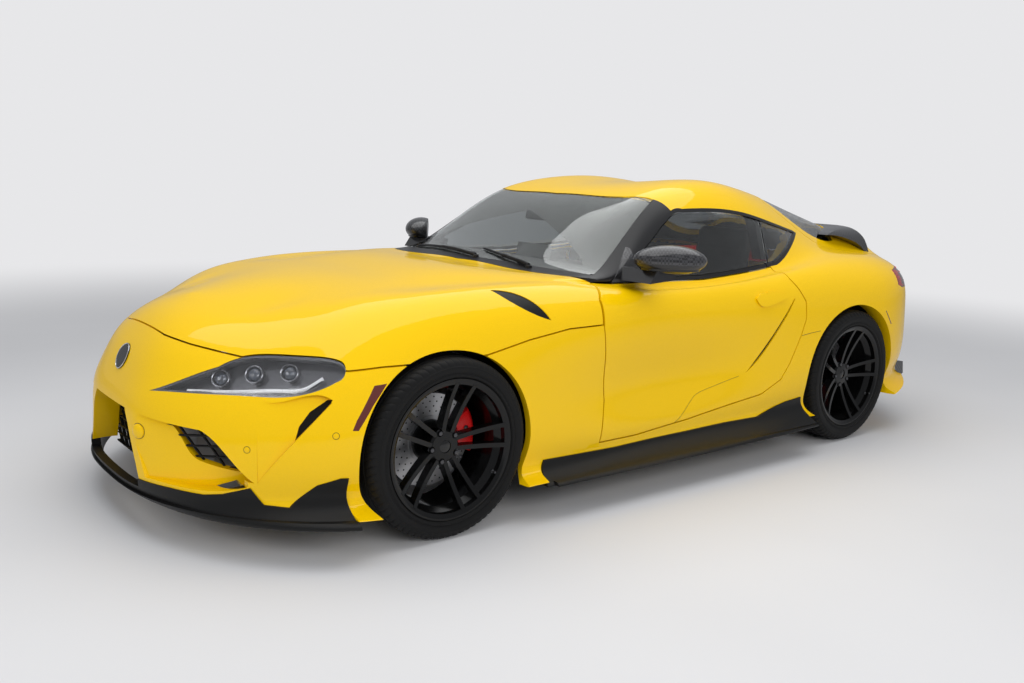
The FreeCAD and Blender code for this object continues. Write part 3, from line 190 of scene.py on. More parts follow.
def surface(name, base, roughness, spread=0.12, grain_scale=900.0, bump=0.02, metallic=0.0, coat=0.0,
            specular=0.5):
    material, tree, out = new_material(name)
    shader = add(tree, "ShaderNodeBsdfPrincipled", Metallic=metallic, Coat_Weight=coat,
                 Coat_Roughness=0.03, Specular_IOR_Level=specular)
    grain = add(tree, "ShaderNodeTexNoise", Scale=grain_scale, Detail=4.0)
    tone = tree.nodes.new("ShaderNodeValToRGB")
    dark = tuple(c * (1.0 - spread) for c in base)
    light = tuple(min(c * (1.0 + spread), 1.0) for c in base)
    tone.color_ramp.elements[0].position = 0.35
    tone.color_ramp.elements[1].position = 0.65
    tone.color_ramp.elements[0].color = (*dark, 1.0)
    tone.color_ramp.elements[1].color = (*light, 1.0)
    shine = add(tree, "ShaderNodeMapRange")
    shine.inputs["To Min"].default_value = max(roughness * (1.0 - spread), 0.0)
    shine.inputs["To Max"].default_value = min(roughness * (1.0 + spread), 1.0)
    dents = add(tree, "ShaderNodeBump", Strength=bump, Distance=0.0005)
    tree.links.new(grain.outputs["Fac"], tone.inputs["Fac"])
    tree.links.new(grain.outputs["Fac"], shine.inputs["Value"])
    tree.links.new(grain.outputs["Fac"], dents.inputs["Height"])
    tree.links.new(tone.outputs["Color"], shader.inputs["Base Color"])
    tree.links.new(shine.outputs["Result"], shader.inputs["Roughness"])
    tree.links.new(dents.outputs["Normal"], shader.inputs["Normal"])
    tree.links.new(shader.outputs["BSDF"], out.inputs["Surface"])
    return material


# Faces of a panel that look towards the cabin get the lining as a second material
def line_inside(names, material, faces_cabin):
    for name in names:
        mesh = nodes[name].data
        mesh.materials.append(material)
        last = len(mesh.materials) - 1
        for polygon in mesh.polygons:
            if faces_cabin(polygon.normal, polygon.center):
                polygon.material_index = last


yellow = surface("yellow_lacquer", (0.84, 0.52, 0.0), 0.45, spread=0.03, grain_scale=260.0, bump=0.010,
                 coat=0.6, specular=0.05)
lining = surface("lining_cloth", (0.035, 0.035, 0.037), 0.85, grain_scale=1600.0, bump=0.5)
dress(["bonnet", "front_bumper", "front_wings", "roof", "side_frame_left", "side_frame_right",
       "door_left", "door_right", "tailgate", "rear_bumper"], yellow)
line_inside(["roof", "tailgate"], lining, lambda normal, centre: normal.z < -0.25)
line_inside(["door_left", "side_frame_left"], lining,
            lambda normal, centre: normal.y > 0.35 and centre.y > -0.84)
line_inside(["door_right", "side_frame_right"], lining,
            lambda normal, centre: normal.y < -0.35 and centre.y < 0.84)


# Panel joints. The pressed skins meet in a short seam behind each door, and a crease runs
# low on the door skin. A thin black line along each is painted shade in the seam and crease.
# Black for the painted shade in the seam, the crease and the gaps at the nose
gap_shade = surface("painted_gap_shade", (0.012, 0.012, 0.012), 0.7, grain_scale=700.0, bump=0.1)
shade_line_half, crease_half, shade_line_lift = 0.0011, 0.0008, 0.0002
seam_places = ((2034, -900, 578), (2100, -900, 586), (2172, -900, 592))
crease_places = ((1624, -900, 416), (1478, -900, 388), (1361, -900, 364), (1311, -900, 335),
                 (1240, -900, 276), (1190, -900, 250))

# Places are measured in millimetres behind the front axle, to the right and up. The width
# and height are brought to the half width and the height that the body has.
middle_behind_axle = 1279.5
width_fit, height_fit = 927.0 / 933.0, 1292.0 / 1291.0


def place_at(x, y, z):
    return Vector(((x - middle_behind_axle) / 1000.0, y / 1000.0 * width_fit, z / 1000.0 * height_fit))


def shell_of(*names):
    points, faces = [], []
    for name in names:
        mesh = nodes[name].data
        base = len(points)
        points += [v.co.copy() for v in mesh.vertices]
        faces += [[base + k for k in polygon.vertices] for polygon in mesh.polygons]
    return BVHTree.FromPolygons(points, faces)


# The point and outward normal where a line meets a skin from outside
def met(shell, start, way):
    way = Vector(way).normalized()
    at, normal, _, _ = shell.ray_cast(Vector(start) - way * 0.5, way)
    if at is None:
        return None, None
    if normal.dot(way) > 0.0:
        normal = -normal
    return at, normal


def tube(line, radius, segments=10, closed=False, flat=1.0, normal=None):
    line = [Vector(p) for p in line]
    count = len(line)
    points, faces = [], []
    side = Vector(normal) if normal is not None else None
    for i, p in enumerate(line):
        before = line[i - 1] if (i or closed) else p
        after = line[(i + 1) % count] if (i < count - 1 or closed) else p
        along = (after - before).normalized()
        if side is None:
            side = along.orthogonal()
        side = (side - along * side.dot(along)).normalized()
        other = along.cross(side)
        wide = radius(i / (count - 1)) if callable(radius) else radius
        for k in range(segments):
            a = 2.0 * math.pi * k / segments
            points.append(p + side * (math.cos(a) * wide * flat) + other * (math.sin(a) * wide))
    for i in range(count if closed else count - 1):
        a, b = i * segments, (i + 1) % count * segments
        faces += [(a + k, a + (k + 1) % segments, b + (k + 1) % segments, b + k) for k in range(segments)]
    if not closed:
        faces += [tuple(range(segments)), tuple(range((count - 1) * segments, count * segments))]
    return points, faces


def smooth_line(points, steps):
    points = [Vector(p) for p in points]
    count = len(points)
    out = []
    for i in range(count - 1):
        p0 = points[max(i - 1, 0)]
        p1, p2 = points[i], points[i + 1]
        p3 = points[min(i + 2, count - 1)]
        for k in range(steps):
            t = k / steps
            out.append(0.5 * (2.0 * p1 + (p2 - p0) * t + (2.0 * p0 - 5.0 * p1 + 4.0 * p2 - p3) * t * t
                              + (3.0 * p1 - p0 - 3.0 * p2 + p3) * t * t * t))
    return out + [points[-1]]


def mirrored(chunks):
    return [([Vector((p.x, -p.y, p.z)) for p in points], faces) for points, faces in chunks]


def piece(name, chunks, material, body, angle=35.0):
    points, faces = [], []
    for some_points, some_faces in chunks:
        base = len(points)
        points += some_points
        faces += [tuple(base + k for k in face) for face in some_faces]
    mesh = bpy.data.meshes.new(name)
    mesh.from_pydata(points, [], faces)
    shape = bmesh.new()
    shape.from_mesh(mesh)
    bmesh.ops.remove_doubles(shape, verts=shape.verts, dist=1e-6)
    bmesh.ops.dissolve_degenerate(shape, edges=shape.edges, dist=1e-7)
    bmesh.ops.recalc_face_normals(shape, faces=shape.faces)
    shape.to_mesh(mesh)
    shape.free()
    mesh.materials.append(material)
    mesh.shade_smooth()
    mesh.set_sharp_from_angle(angle=math.radians(angle))
    obj = bpy.data.objects.new(name, mesh)
    bpy.context.collection.objects.link(obj)
    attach(obj, body)
    return obj


# A piece and its mirror image. A body whose name ends in _ takes the name of the side.
def pair(name, chunks, material, body):
    for side_name, copy in (("left", list), ("right", mirrored)):
        carrier = body + side_name if body.endswith("_") else body
        piece(name + side_name, copy(chunks), material, carrier)


# A thin line of painted shade laid on a left-hand skin through some places
def seam(places, skin, half, steps):
    line = []
    for p in smooth_line([place_at(*place) for place in places], steps):
        at, normal = met(skin, p, (0, 1, 0))
        if at is not None:
            line.append(at + normal * shade_line_lift)
    return tube(line, half, 6)


pair("quarter_seam_", [seam(seam_places, shell_of("side_frame_left"), shade_line_half, 8)], gap_shade,
     "body")
pair("door_crease_", [seam(crease_places, shell_of("door_left"), crease_half, 10)], gap_shade,
     "door_")


# Black trim. Moulded satin covers are clipped over the screen pillars and round the side
# glass. The lip, sills, vents and wheel arch liners are grained plastic, moulded in black.
gloss_black = surface("gloss_black", (0.006, 0.006, 0.006), 0.14)
grained_black = surface("grained_black", (0.008, 0.008, 0.008), 0.42, bump=0.25, grain_scale=1400.0,
                        specular=0.22)
satin_black = surface("satin_black", (0.012, 0.012, 0.013), 0.34, bump=0.05, specular=0.3)
dress(["windscreen_frame", "door_trim_left", "door_trim_right", "window_trim"], satin_black)
dress(["front_splitter", "side_skirts", "wheel_liners", "grilles", "bonnet_vents"], grained_black)
dress(["badge_disc"], gloss_black)
line_inside(["windscreen_frame", "window_trim"], lining, lambda normal, centre: normal.y * centre.y < 0.0)


# Carbon fibre. The ducktail, the diffuser and the mirror housings are laid up from woven
# twill under clear lacquer, and the lowest part of the housings is plain gloss black.
def carbon_weave(name, pitch, plain_below=None):
    material, tree, out = new_material(name)
    shader = add(tree, "ShaderNodeBsdfPrincipled", Roughness=0.30, Coat_Weight=0.7, Coat_Roughness=0.04,
                 Specular_IOR_Level=0.3)
    where = tree.nodes.new("ShaderNodeTexCoord")
    first = add(tree, "ShaderNodeTexWave", Scale=1.0 / pitch, Distortion=0.0)
    first.bands_direction = "DIAGONAL"
    second = add(tree, "ShaderNodeTexChecker", Scale=0.5 / pitch)
    second.inputs["Color1"].default_value = (0.016, 0.016, 0.018, 1)
    second.inputs["Color2"].default_value = (0.055, 0.055, 0.06, 1)
    blend = tree.nodes.new("ShaderNodeMix")
    blend.data_type = "RGBA"
    blend.blend_type = "MULTIPLY"
    blend.inputs["Factor"].default_value = 0.5
    for source, target in ((where.outputs["Object"], first.inputs["Vector"]),
                           (where.outputs["Object"], second.inputs["Vector"]),
                           (second.outputs["Color"], blend.inputs["A"]),
                           (first.outputs["Color"], blend.inputs["B"]),
                           (shader.outputs["BSDF"], out.inputs["Surface"])):
        tree.links.new(source, target)
    result = blend.outputs["Result"]
    if plain_below is not None:
        parted = tree.nodes.new("ShaderNodeSeparateXYZ")
        level_test = tree.nodes.new("ShaderNodeMath")
        level_test.operation = "LESS_THAN"
        level_test.inputs[1].default_value = plain_below
        choice = tree.nodes.new("ShaderNodeMix")
        choice.data_type = "RGBA"
        choice.inputs["B"].default_value = (0.010, 0.010, 0.011, 1)
        for source, target in ((where.outputs["Object"], parted.inputs["Vector"]),
                               (parted.outputs["Z"], level_test.inputs[0]),
                               (level_test.outputs[0], choice.inputs["Factor"]),
                               (result, choice.inputs["A"])):
            tree.links.new(source, target)
        result = choice.outputs["Result"]
    tree.links.new(result, shader.inputs["Base Color"])
    return material


dress(["rear_spoiler", "rear_diffuser"], carbon_weave("carbon_twill", 0.006))
dress(["mirror_left", "mirror_right"], carbon_weave("mirror_twill", 0.005, plain_below=0.957))


# Glass. A laminated windscreen with a green tint, toughened and darker side and rear
# windows, all bonded in or run in rubber, and moulded lamp covers, clear and red.
def glazing(name, tint):
    material, tree, out = new_material(name)
    shader = add(tree, "ShaderNodeBsdfPrincipled", Roughness=0.0, IOR=1.45, Transmission_Weight=1.0)
    haze = add(tree, "ShaderNodeTexNoise", Scale=3.0)
    tone = tree.nodes.new("ShaderNodeValToRGB")
    tone.color_ramp.elements[0].color = (*[c * 0.97 for c in tint], 1.0)
    tone.color_ramp.elements[1].color = (*tint, 1.0)
    tree.links.new(haze.outputs["Fac"], tone.inputs["Fac"])
    tree.links.new(tone.outputs["Color"], shader.inputs["Base Color"])
    tree.links.new(shader.outputs["BSDF"], out.inputs["Surface"])
    return material


dress(["windscreen"], glazing("clear_glass", (0.90, 0.94, 0.92)))
dress(["door_window_left", "door_window_right", "quarter_windows", "tailgate_window"],
      glazing("dark_glass", (0.50, 0.52, 0.52)))
dress(["headlamps"], glazing("lamp_cover", (0.90, 0.91, 0.93)))
dress(["tail_lamps"], glazing("tail_cover", (0.45, 0.012, 0.010)))
dress(["side_markers"], surface("marker_lens", (0.10, 0.012, 0.006), 0.12, coat=1.0))
dress(["headlamp_units"], surface("lamp_inside", (0.15, 0.15, 0.157), 0.22, metallic=0.6))

# Windscreen edge. A band of black enamel is baked on the inner face of the glass. It is
# wide at the base and at the top, where it hides the camera, and narrow at the sides.
enamel = surface("black_enamel", (0.006, 0.006, 0.006), 0.5, grain_scale=500.0)
screen = shell_of("windscreen")
screen_low, screen_high = [Vector(corner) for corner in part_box("windscreen")]
enamel_depth, patch_depth, edge_set_back = 0.0008, 0.0010, 0.0005


def under_glass(x, y, depth):
    at, normal, _, _ = screen.ray_cast(Vector((x, y, screen_low.z - 0.3)), Vector((0, 0, 1)))
    if at is None:
        return None
    if normal.z > 0.0:
        normal = -normal
    return at + normal * depth


def screen_ring(count=240):
    middle = Vector(((screen_low.x + screen_high.x) / 2.0, 0.0))
    ring = []
    for k in range(count):
        a = 2.0 * math.pi * k / count
        way = Vector((math.cos(a), math.sin(a)))
        near, far = 0.0, 1.2
        for _ in range(18):
            test = (near + far) / 2.0
            if under_glass(middle.x + way.x * test, way.y * test, 0.0) is None:
                far = test
            else:
                near = test
        ring.append(middle + way * (near - edge_set_back))
    return middle, ring


def enamel_band(side_width=0.034, base_width=0.075, top_width=0.060, steps=5):
    middle, ring = screen_ring()
    count = len(ring)
    edges = []
    for k, p in enumerate(ring):
        along = ring[(k + 2) % count] - ring[k - 2]
        outward = Vector((along.y, -along.x)).normalized()
        across = abs(outward.y)
        end_width = base_width if outward.x < 0.0 else top_width
        share = min(max((across - 0.45) / 0.3, 0.0), 1.0)
        edges.append((p, outward, side_width * share + end_width * (1.0 - share)))
    points, faces = [], []
    for k, p in enumerate(ring):
        way = (p - middle).normalized()
        inner = min(((q - middle).dot(n) - w) / way.dot(n) for q, n, w in edges if way.dot(n) > 0.05)
        outer = (p - middle).length
        for j in range(steps + 1):
            r = outer + (inner - outer) * j / steps
            q = middle + way * r
            points.append(under_glass(q.x, q.y, enamel_depth))
    for k in range(count):
        a, b = k * (steps + 1), (k + 1) % count * (steps + 1)
        faces += [(a + j, b + j, b + j + 1, a + j + 1) for j in range(steps)]
    return points, faces


def camera_patch(half_width=0.11, length=0.10, from_top=0.045, columns=12, rows=8):
    points, faces = [], []
    top = screen_ring(8)[1][0].x
    for i in range(columns + 1):
        for j in range(rows + 1):
            down = j / rows
            y = (2.0 * i / columns - 1.0) * half_width * (1.0 - 0.25 * down)
            points.append(under_glass(top - from_top - length * down, y, patch_depth))
    for i in range(columns):
        for j in range(rows):
            a = i * (rows + 1) + j
            faces.append((a, a + rows + 1, a + rows + 2, a + 1))
    return points, faces


piece("screen_enamel", [enamel_band(), camera_patch()], enamel, "body")

# Wheels. Cast wheels in gloss black lacquer stand over machined iron discs with drilled
# faces and red calipers. Five bolts hold each to its hub, round a plain cap, and a tyre
# valve of the same steel stands in the rim.
rim_black = surface("rim_black", (0.003, 0.003, 0.003), 0.16, specular=0.3)
disc_iron = surface("disc_iron", (0.42, 0.42, 0.43), 0.35, metallic=1.0, grain_scale=400.0)
caliper_red = surface("caliper_red", (0.50, 0.004, 0.004), 0.28)
rubber = surface("rubber", (0.007, 0.007, 0.007), 0.60, grain_scale=700.0, bump=0.2, specular=0.2)
bolt_steel = surface("bolt_steel", (0.10, 0.10, 0.105), 0.35, metallic=1.0)
satin_metal = surface("satin_metal", (0.55, 0.55, 0.56), 0.28, metallic=1.0)
# The drilled holes and the vents at the disc's edge are thin dark patches on its face: painted shade in the
# holes
painted_hole_shade = surface("painted_hole_shade", (0.01, 0.01, 0.01), 0.9)
corners = ("front_left", "front_right", "rear_left", "rear_right")
for corner in corners:
    dress(["rim_" + corner], rim_black)
    dress(["brake_disc_" + corner], disc_iron)
dress(["caliper_front_left", "caliper_front_right", "rear_calipers"], caliper_red)


def turned(profile, centre, axis, segments=32):
    centre = Vector(centre)
    axis = Vector(axis).normalized()
    side = axis.orthogonal().normalized()
    other = axis.cross(side)
    points, faces = [], []
    count = len(profile)
    for k in range(segments):
        a = 2.0 * math.pi * k / segments
        spoke = side * math.cos(a) + other * math.sin(a)
        points += [centre + axis * h + spoke * r for r, h in profile]
        first, second = k * count, (k + 1) % segments * count
        faces += [(first + j, second + j, second + j + 1, first + j + 1) for j in range(count - 1)]
    return points, faces


bolt_ring = 0.056
bolt_foot_depth = 0.070
cap_depth = 0.062
valve_ring, valve_depth = 0.234, 0.036
spoke_angle, spoke_pitch = 85.0, 72.0
disc_face, disc_rim_face = 0.037, 0.052
hole_rows = ((0.108, 24, 0.0), (0.126, 24, 0.5), (0.144, 30, 0.0), (0.161, 30, 0.5))
vent_count, vent_ring = 60, 0.1735
vent_half_width, vent_half_depth, vent_height = 0.0045, 0.008, 0.0009


def hub_fittings(centre, half_width):
    bolts, cap, holes = [], [], []
    out = Vector((0, -1, 0))
    for k in range(5):
        a = math.radians(spoke_angle + spoke_pitch * (k + 0.5))
        foot = centre + Vector((math.sin(a) * bolt_ring, -half_width + bolt_foot_depth,
                                math.cos(a) * bolt_ring))
        washer = [(0.0, 0.0), (0.0112, 0.0), (0.0112, 0.003), (0.0098, 0.0045)]
        hexagon = [(0.0096, 0.003), (0.0096, 0.012), (0.0082, 0.0145), (0.0, 0.0150)]
        bolts += [turned(washer, foot, out, 24), turned(hexagon, foot, out, 6)]
    face = centre + Vector((0, -half_width + cap_depth, 0))
    cap.append(turned([(0.0225, -0.001), (0.0225, 0.0018), (0.0205, 0.0030), (0.0, 0.0036)],
                      face, out, 40))
    a = math.radians(spoke_angle + spoke_pitch / 2.0)
    spoke = Vector((math.sin(a), 0, math.cos(a)))
    valve_foot = centre + spoke * valve_ring + Vector((0, -half_width + valve_depth, 0))
    lean = (out * 0.9 - spoke * 0.44).normalized()
    bolts.append(turned([(0.0065, -0.004), (0.0065, 0.003), (0.0036, 0.005), (0.0036, 0.026),
                         (0.0044, 0.026), (0.0044, 0.034), (0.0, 0.035)], valve_foot, lean, 12))
    # Dark patches of painted shade where the disc is drilled and vented
    for r, count, turn_by in hole_rows:
        for k in range(count):
            b = 2.0 * math.pi * (k + turn_by) / count
            spot = centre + Vector((math.sin(b) * r, disc_face, math.cos(b) * r))
            holes.append(turned([(0.0032, 0.0), (0.0032, 0.0004), (0.0, 0.0004)], spot, out, 10))
    for k in range(vent_count):
        b = 2.0 * math.pi * k / vent_count
        spoke = Vector((math.sin(b), 0, math.cos(b)))
        spot = centre + spoke * vent_ring + Vector((0, disc_rim_face, 0))
        side = Vector((math.cos(b), 0, -math.sin(b))) * vent_half_width
        vent = [spot + side * u + Vector((0, vent_half_depth * v, 0)) + spoke * h
                for h in (0.0, vent_height) for u, v in ((-1, -1), (1, -1), (1, 1), (-1, 1))]
        walls = [(j, (j + 1) % 4, (j + 1) % 4 + 4, j + 4) for j in range(4)]
        holes.append((vent, [(0, 1, 2, 3), (4, 5, 6, 7)] + walls))
    return bolts, cap, holes


# Two caliper bolts, on the side that faces the spokes. The rear calipers sit ahead.
caliper_ring, caliper_face, caliper_angle = 0.150, 0.0142, 100.0


def caliper_fittings(centre, behind):
    chunks = []
    for degrees in (-22.0, 22.0):
        b = math.radians(caliper_angle + degrees)
        spot = centre + Vector((math.sin(b) * caliper_ring * behind, caliper_face,
                                math.cos(b) * caliper_ring))
        chunks.append(turned([(0.009, 0.0), (0.009, 0.004), (0.006, 0.006), (0.0, 0.006)], spot,
                             (0, -1, 0), 12))
    return chunks


# Tyres. Wide low tyres, moulded in rubber with four grooves round the tread, slanted slots
# across the shoulders, and a rim guard and plain rings on the side walls.
groove_depth, slot_depth, slot_lean = 0.0070, 0.0035, 1.44
first_slot_ring = 17


def tyre(centre, radius, half_width, segments=360, slots=72):
    w = half_width
    wall = [(0.244, w - 0.024), (0.252, w - 0.0175), (0.2585, w - 0.0155), (0.2605, w - 0.0085),
            (0.2640, w - 0.0030), (0.2685, w - 0.0012), (0.2730, w - 0.0030), (0.2760, w - 0.0048),
            (0.2770, w - 0.0036), (0.2784, w - 0.0036), (0.2794, w - 0.0042), (0.2860, w - 0.0014),
            (radius - 0.038, w), (radius - 0.031, w - 0.0008), (radius - 0.0300, w - 0.0001),
            (radius - 0.0284, w - 0.0003), (radius - 0.0274, w - 0.0018),
            (radius - 0.021, w - 0.0038), (radius - 0.014, w - 0.0078),
            (radius - 0.0085, w - 0.0125), (radius - 0.0042, w - 0.0190),
            (radius - 0.0020, w - 0.0270), (radius - 0.0011, w - 0.0350)]
    tread = []
    for middle in (w * 0.52, w * 0.18):
        tread += [(radius - 0.0009, middle + 0.0052), (radius - groove_depth, middle + 0.0040),
                  (radius - groove_depth, middle - 0.0040), (radius - 0.0004, middle - 0.0052)]
    half = wall + tread
    profile = half + [(r, -y) for r, y in reversed(half)]
    profile += [(radius - 0.016, -w + 0.045), (radius - 0.016, w - 0.045)]
    points, faces = [], []
    count = len(profile)
    for k in range(segments):
        in_slot = k % (segments // slots) == 0
        for j, (r, y) in enumerate(profile):
            ring = min(j, 2 * len(half) - 1 - j) if j < 2 * len(half) else 0
            a = 2.0 * math.pi * k / segments + slot_lean * max(abs(y) - w * 0.55, 0.0)
            deep = slot_depth if in_slot and first_slot_ring <= ring < len(wall) else 0.0
            points.append(centre + Vector((math.sin(a) * (r - deep), y, math.cos(a) * (r - deep))))
    for k in range(segments):
        a, b = k * count, (k + 1) % segments * count
        faces += [(a + j, b + j, b + (j + 1) % count, a + (j + 1) % count) for j in range(count)]
    return points, faces


for corner in corners:
    low, high = [Vector(c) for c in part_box("tyre_" + corner)]
    centre = (low + high) / 2.0
    centre.y = -abs(centre.y)
    half_width = (high.y - low.y) / 2.0
    sets = hub_fittings(centre, half_width)
    caliper_bolts = caliper_fittings(centre, 1.0 if corner.startswith("front") else -1.0)
    carcass = [tyre(centre, (high.z - low.z) / 2.0, half_width)]
    if corner.endswith("right"):
        sets = [mirrored(chunks) for chunks in sets]
        caliper_bolts, carcass = mirrored(caliper_bolts), mirrored(carcass)
    wheel = "wheel_" + corner
    for label, chunks, material, slot in (("bolts_", sets[0], bolt_steel, "cast"),
                                          ("hub_cap_", sets[1], gloss_black, "gloss_black"),
                                          ("disc_holes_", sets[2], painted_hole_shade, "black_plastic")):
        piece(label + corner, chunks, material, wheel)
    carrier = "knuckle_" + corner[6:] if corner.startswith("front") else "body"
    piece("caliper_bolts_" + corner, caliper_bolts, bolt_steel, carrier)
    tread = piece("tread_" + corner, carcass, rubber, wheel, angle=28.0)
    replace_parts(tread, "tyre_" + corner)

# Headlamps. Behind each sealed cover three glass projector lenses sit in plated rings, and
# a bent light guide of white acrylic runs along the lower edge.
lamp_way = Vector((-0.62, -0.66, 0.42)).normalized()
projector_places = ((-690, -508, 590), (-610, -600, 612), (-525, -690, 626))
projector_depth, guide_depth, guide_radius = 0.026, 0.021, 0.0068
guide_places = ((-774, -438, 541), (-690, -560, 552), (-590, -665, 566), (-507, -744, 574),
                (-440, -772, 612))
chrome = surface("chrome", (0.80, 0.80, 0.81), 0.07, spread=0.04, metallic=1.0)
dark_chrome = surface("dark_chrome", (0.20, 0.20, 0.21), 0.16, spread=0.06, metallic=1.0)
lens = surface("lens_glass", (0.045, 0.055, 0.075), 0.04, coat=1.0)


# Ribbed acrylic that glows faintly along a lamp, its ribs painted as bands of light and shade
def ribbed_guide(name, glow, strength, roughness, ribs_per_metre, valley_shade, crest_highlight):
    material, tree, out = new_material(name)
    shader = add(tree, "ShaderNodeBsdfPrincipled", Roughness=roughness, Emission_Strength=strength,
                 Emission_Color=glow)
    ribs = add(tree, "ShaderNodeTexWave", Scale=ribs_per_metre)
    tone = tree.nodes.new("ShaderNodeValToRGB")
    # Painted shade in the valleys of the ribs and painted highlight on their crests
    tone.color_ramp.elements[0].color = valley_shade
    tone.color_ramp.elements[1].color = crest_highlight
    tree.links.new(ribs.outputs["Fac"], tone.inputs["Fac"])
    tree.links.new(tone.outputs["Color"], shader.inputs["Base Color"])
    tree.links.new(shader.outputs["BSDF"], out.inputs["Surface"])
    return material


guide_white = ribbed_guide("light_guide", (1.0, 1.0, 1.0, 1.0), 0.25, 0.25, 160.0,
                           (0.55, 0.55, 0.56, 1), (0.85, 0.85, 0.86, 1))
rings, domes = [], []
for x, y, z in projector_places:
    eye = place_at(x, y, z) - lamp_way * projector_depth
    rings.append(turned([(0.0312, -0.004), (0.0312, 0.0022), (0.0295, 0.0030), (0.0262, 0.0014),
                         (0.0250, -0.0060)], eye, lamp_way, 40))
    dome = [(0.0240 * math.cos(math.radians(b)), -0.010 + 0.014 * math.sin(math.radians(b)))
            for b in range(0, 91, 9)]
    domes.append(turned([(0.0240, -0.014)] + dome, eye, lamp_way, 40))
guide_line = [place_at(x, y, z) - lamp_way * guide_depth for x, y, z in guide_places]
guide = [tube(smooth_line(guide_line, 10), guide_radius, 12)]
pair("lamp_rings_", rings, dark_chrome, "body")
pair("lamp_lenses_", domes, lens, "body")
pair("light_guide_", guide, guide_white, "body")

# Nose fittings. Painted plastic, pressed into the bumper skin: two parking sensors on each
# side and the cover of the towing eye. A plated rim runs round the plain badge disc.
bumper_face = shell_of("front_bumper")
sensor_places = (((-659, -675, 375), (0.75, 0.66, 0)), ((-424, -837, 431), (0.35, 0.94, 0)))
tow_place, tow_way = (-880, -277, 375), (1, 0, 0)
badge_place, badge_radius, badge_rim_thickness = (-850, 0, 589), 0.0478, 0.0019


def seated_ring(shell, centre, way, radius, thickness, count=32):
    way = Vector(way).normalized()
    side = way.orthogonal().normalized()
    other = way.cross(side)
    line = []
    for k in range(count):
        a = 2.0 * math.pi * k / count
        spot = centre + side * (math.cos(a) * radius) + other * (math.sin(a) * radius)
        at, _ = met(shell, spot, way)
        if at is not None:
            line.append(at)
    return tube(line, thickness, 8, closed=True)


# A thin black ring round each sensor and round the tow cover is painted shade in its gap
sensors, sensor_gaps = [], []
for at, way in sensor_places:
    spot, normal = met(bumper_face, place_at(*at), way)
    sensors.append(turned([(0.0102, -0.002), (0.0102, 0.0006), (0.0090, 0.0014), (0.0, 0.0016)],
                          spot, normal, 28))
    sensor_gaps.append(seated_ring(bumper_face, place_at(*at), way, 0.0110, 0.0009))
piece("parking_sensors", sensors + mirrored(sensors), yellow, "body")
tow_spot, tow_normal = met(bumper_face, place_at(*tow_place), tow_way)
tow_cover = turned([(0.0262, -0.006), (0.0262, 0.0022), (0.0240, 0.0052), (0.0170, 0.0082), (0.0, 0.0094)],
                   tow_spot, tow_normal, 36)
tow_ring = seated_ring(bumper_face, place_at(*tow_place), tow_way, 0.0272, 0.0010)
piece("towing_eye_cover", [tow_cover], yellow, "body")
piece("nose_gaps", sensor_gaps + mirrored(sensor_gaps) + [tow_ring], gap_shade, "body")
badge_shell = shell_of("badge_disc")
facing = Vector((0.92, 0, -0.39))
badge_rim = seated_ring(badge_shell, place_at(*badge_place), facing, badge_radius,
                        badge_rim_thickness)
piece("badge_rim", [badge_rim], chrome, "body")


# Wipers. Each is a rubber blade in a slim black carrier, held at its middle by a pressed
# arm that comes from a capped pivot at the base of the glass. They replace plain strips.
screen_base = shell_of("windscreen", "windscreen_frame", "bonnet")
blade_ends = ((696, -60, 776, 560), (706, -430, 766, -20))
blade_lift, carrier_lift, arm_lift, arm_bow, joint_lift = 0.0035, 0.0090, 0.0125, 0.004, 0.0115


def over_glass(x, y, lift):
    start = place_at(x, y, 1000)
    at, normal = met(screen_base, start, (0, 0, -1))
    return at + normal * lift


wiper_chunks = []
for x0, y0, x1, y1 in blade_ends:
    line, carrier_line, arm_line = [], [], []
    for k in range(25):
        t = k / 24.0
        x, y = x0 + (x1 - x0) * t, y0 + (y1 - y0) * t
        line.append(over_glass(x, y, blade_lift))
        if 1 <= k <= 23:
            carrier_line.append(over_glass(x, y, carrier_lift))
    wiper_chunks.append(tube(line, 0.0030, 8))
    wiper_chunks.append(tube(carrier_line, lambda t: 0.0062 - 0.0035 * abs(2.0 * t - 1.0), 10))
    middle = ((x0 + x1) / 2.0, (y0 + y1) / 2.0)
    pivot = (x0 - 4, y0 - 6)
    for t in (0.0, 0.25, 0.5, 0.75, 1.0):
        x = pivot[0] + (middle[0] - pivot[0]) * t
        y = pivot[1] + (middle[1] - pivot[1]) * t
        arm_line.append(over_glass(x, y, arm_lift + arm_bow * math.sin(math.pi * t)))
    wiper_chunks.append(tube(smooth_line(arm_line, 6), lambda t: 0.0075 - 0.0030 * t, 12))
    wiper_chunks.append(turned([(0.013, -0.012), (0.013, 0.0085), (0.0110, 0.0110), (0.0, 0.0118)],
                               over_glass(pivot[0], pivot[1], 0.0), (0, 0, 1), 24))
    hinge = over_glass(middle[0], middle[1], joint_lift)
    wiper_chunks.append(turned([(0.0070, -0.013), (0.0070, 0.013), (0.0, 0.013)], hinge,
                               place_at(x1, y1, 0) - place_at(x0, y0, 0), 16))
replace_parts(piece("wiper_set", wiper_chunks, satin_black, "body"), "wipers")

# Mirrors. A slightly domed glass fills the flat back of each housing, clipped into a dark
# rim, and a moulded cover in gloss black closes the housing from below.
mirror_metal = surface("mirror_silver", (0.86, 0.87, 0.88), 0.03, spread=0.02, bump=0.0, metallic=1.0)
pod_middle = place_at(1036, -932, 972)
pod_half_long, pod_half_wide, pod_half_high, pod_floor = 0.150, 0.074, 0.060, -0.050
pod_turn = math.radians(-39.7)
glass_turn = math.radians(54.7)
glass_in_pod = math.radians(15.0)
glass_way = Vector((math.sin(glass_turn), math.cos(glass_turn), 0.0))
glass_side = Vector((math.cos(glass_turn), -math.sin(glass_turn), 0.0))
back_depth, glass_depth, glass_shift = 0.034, 0.0345, 0.012


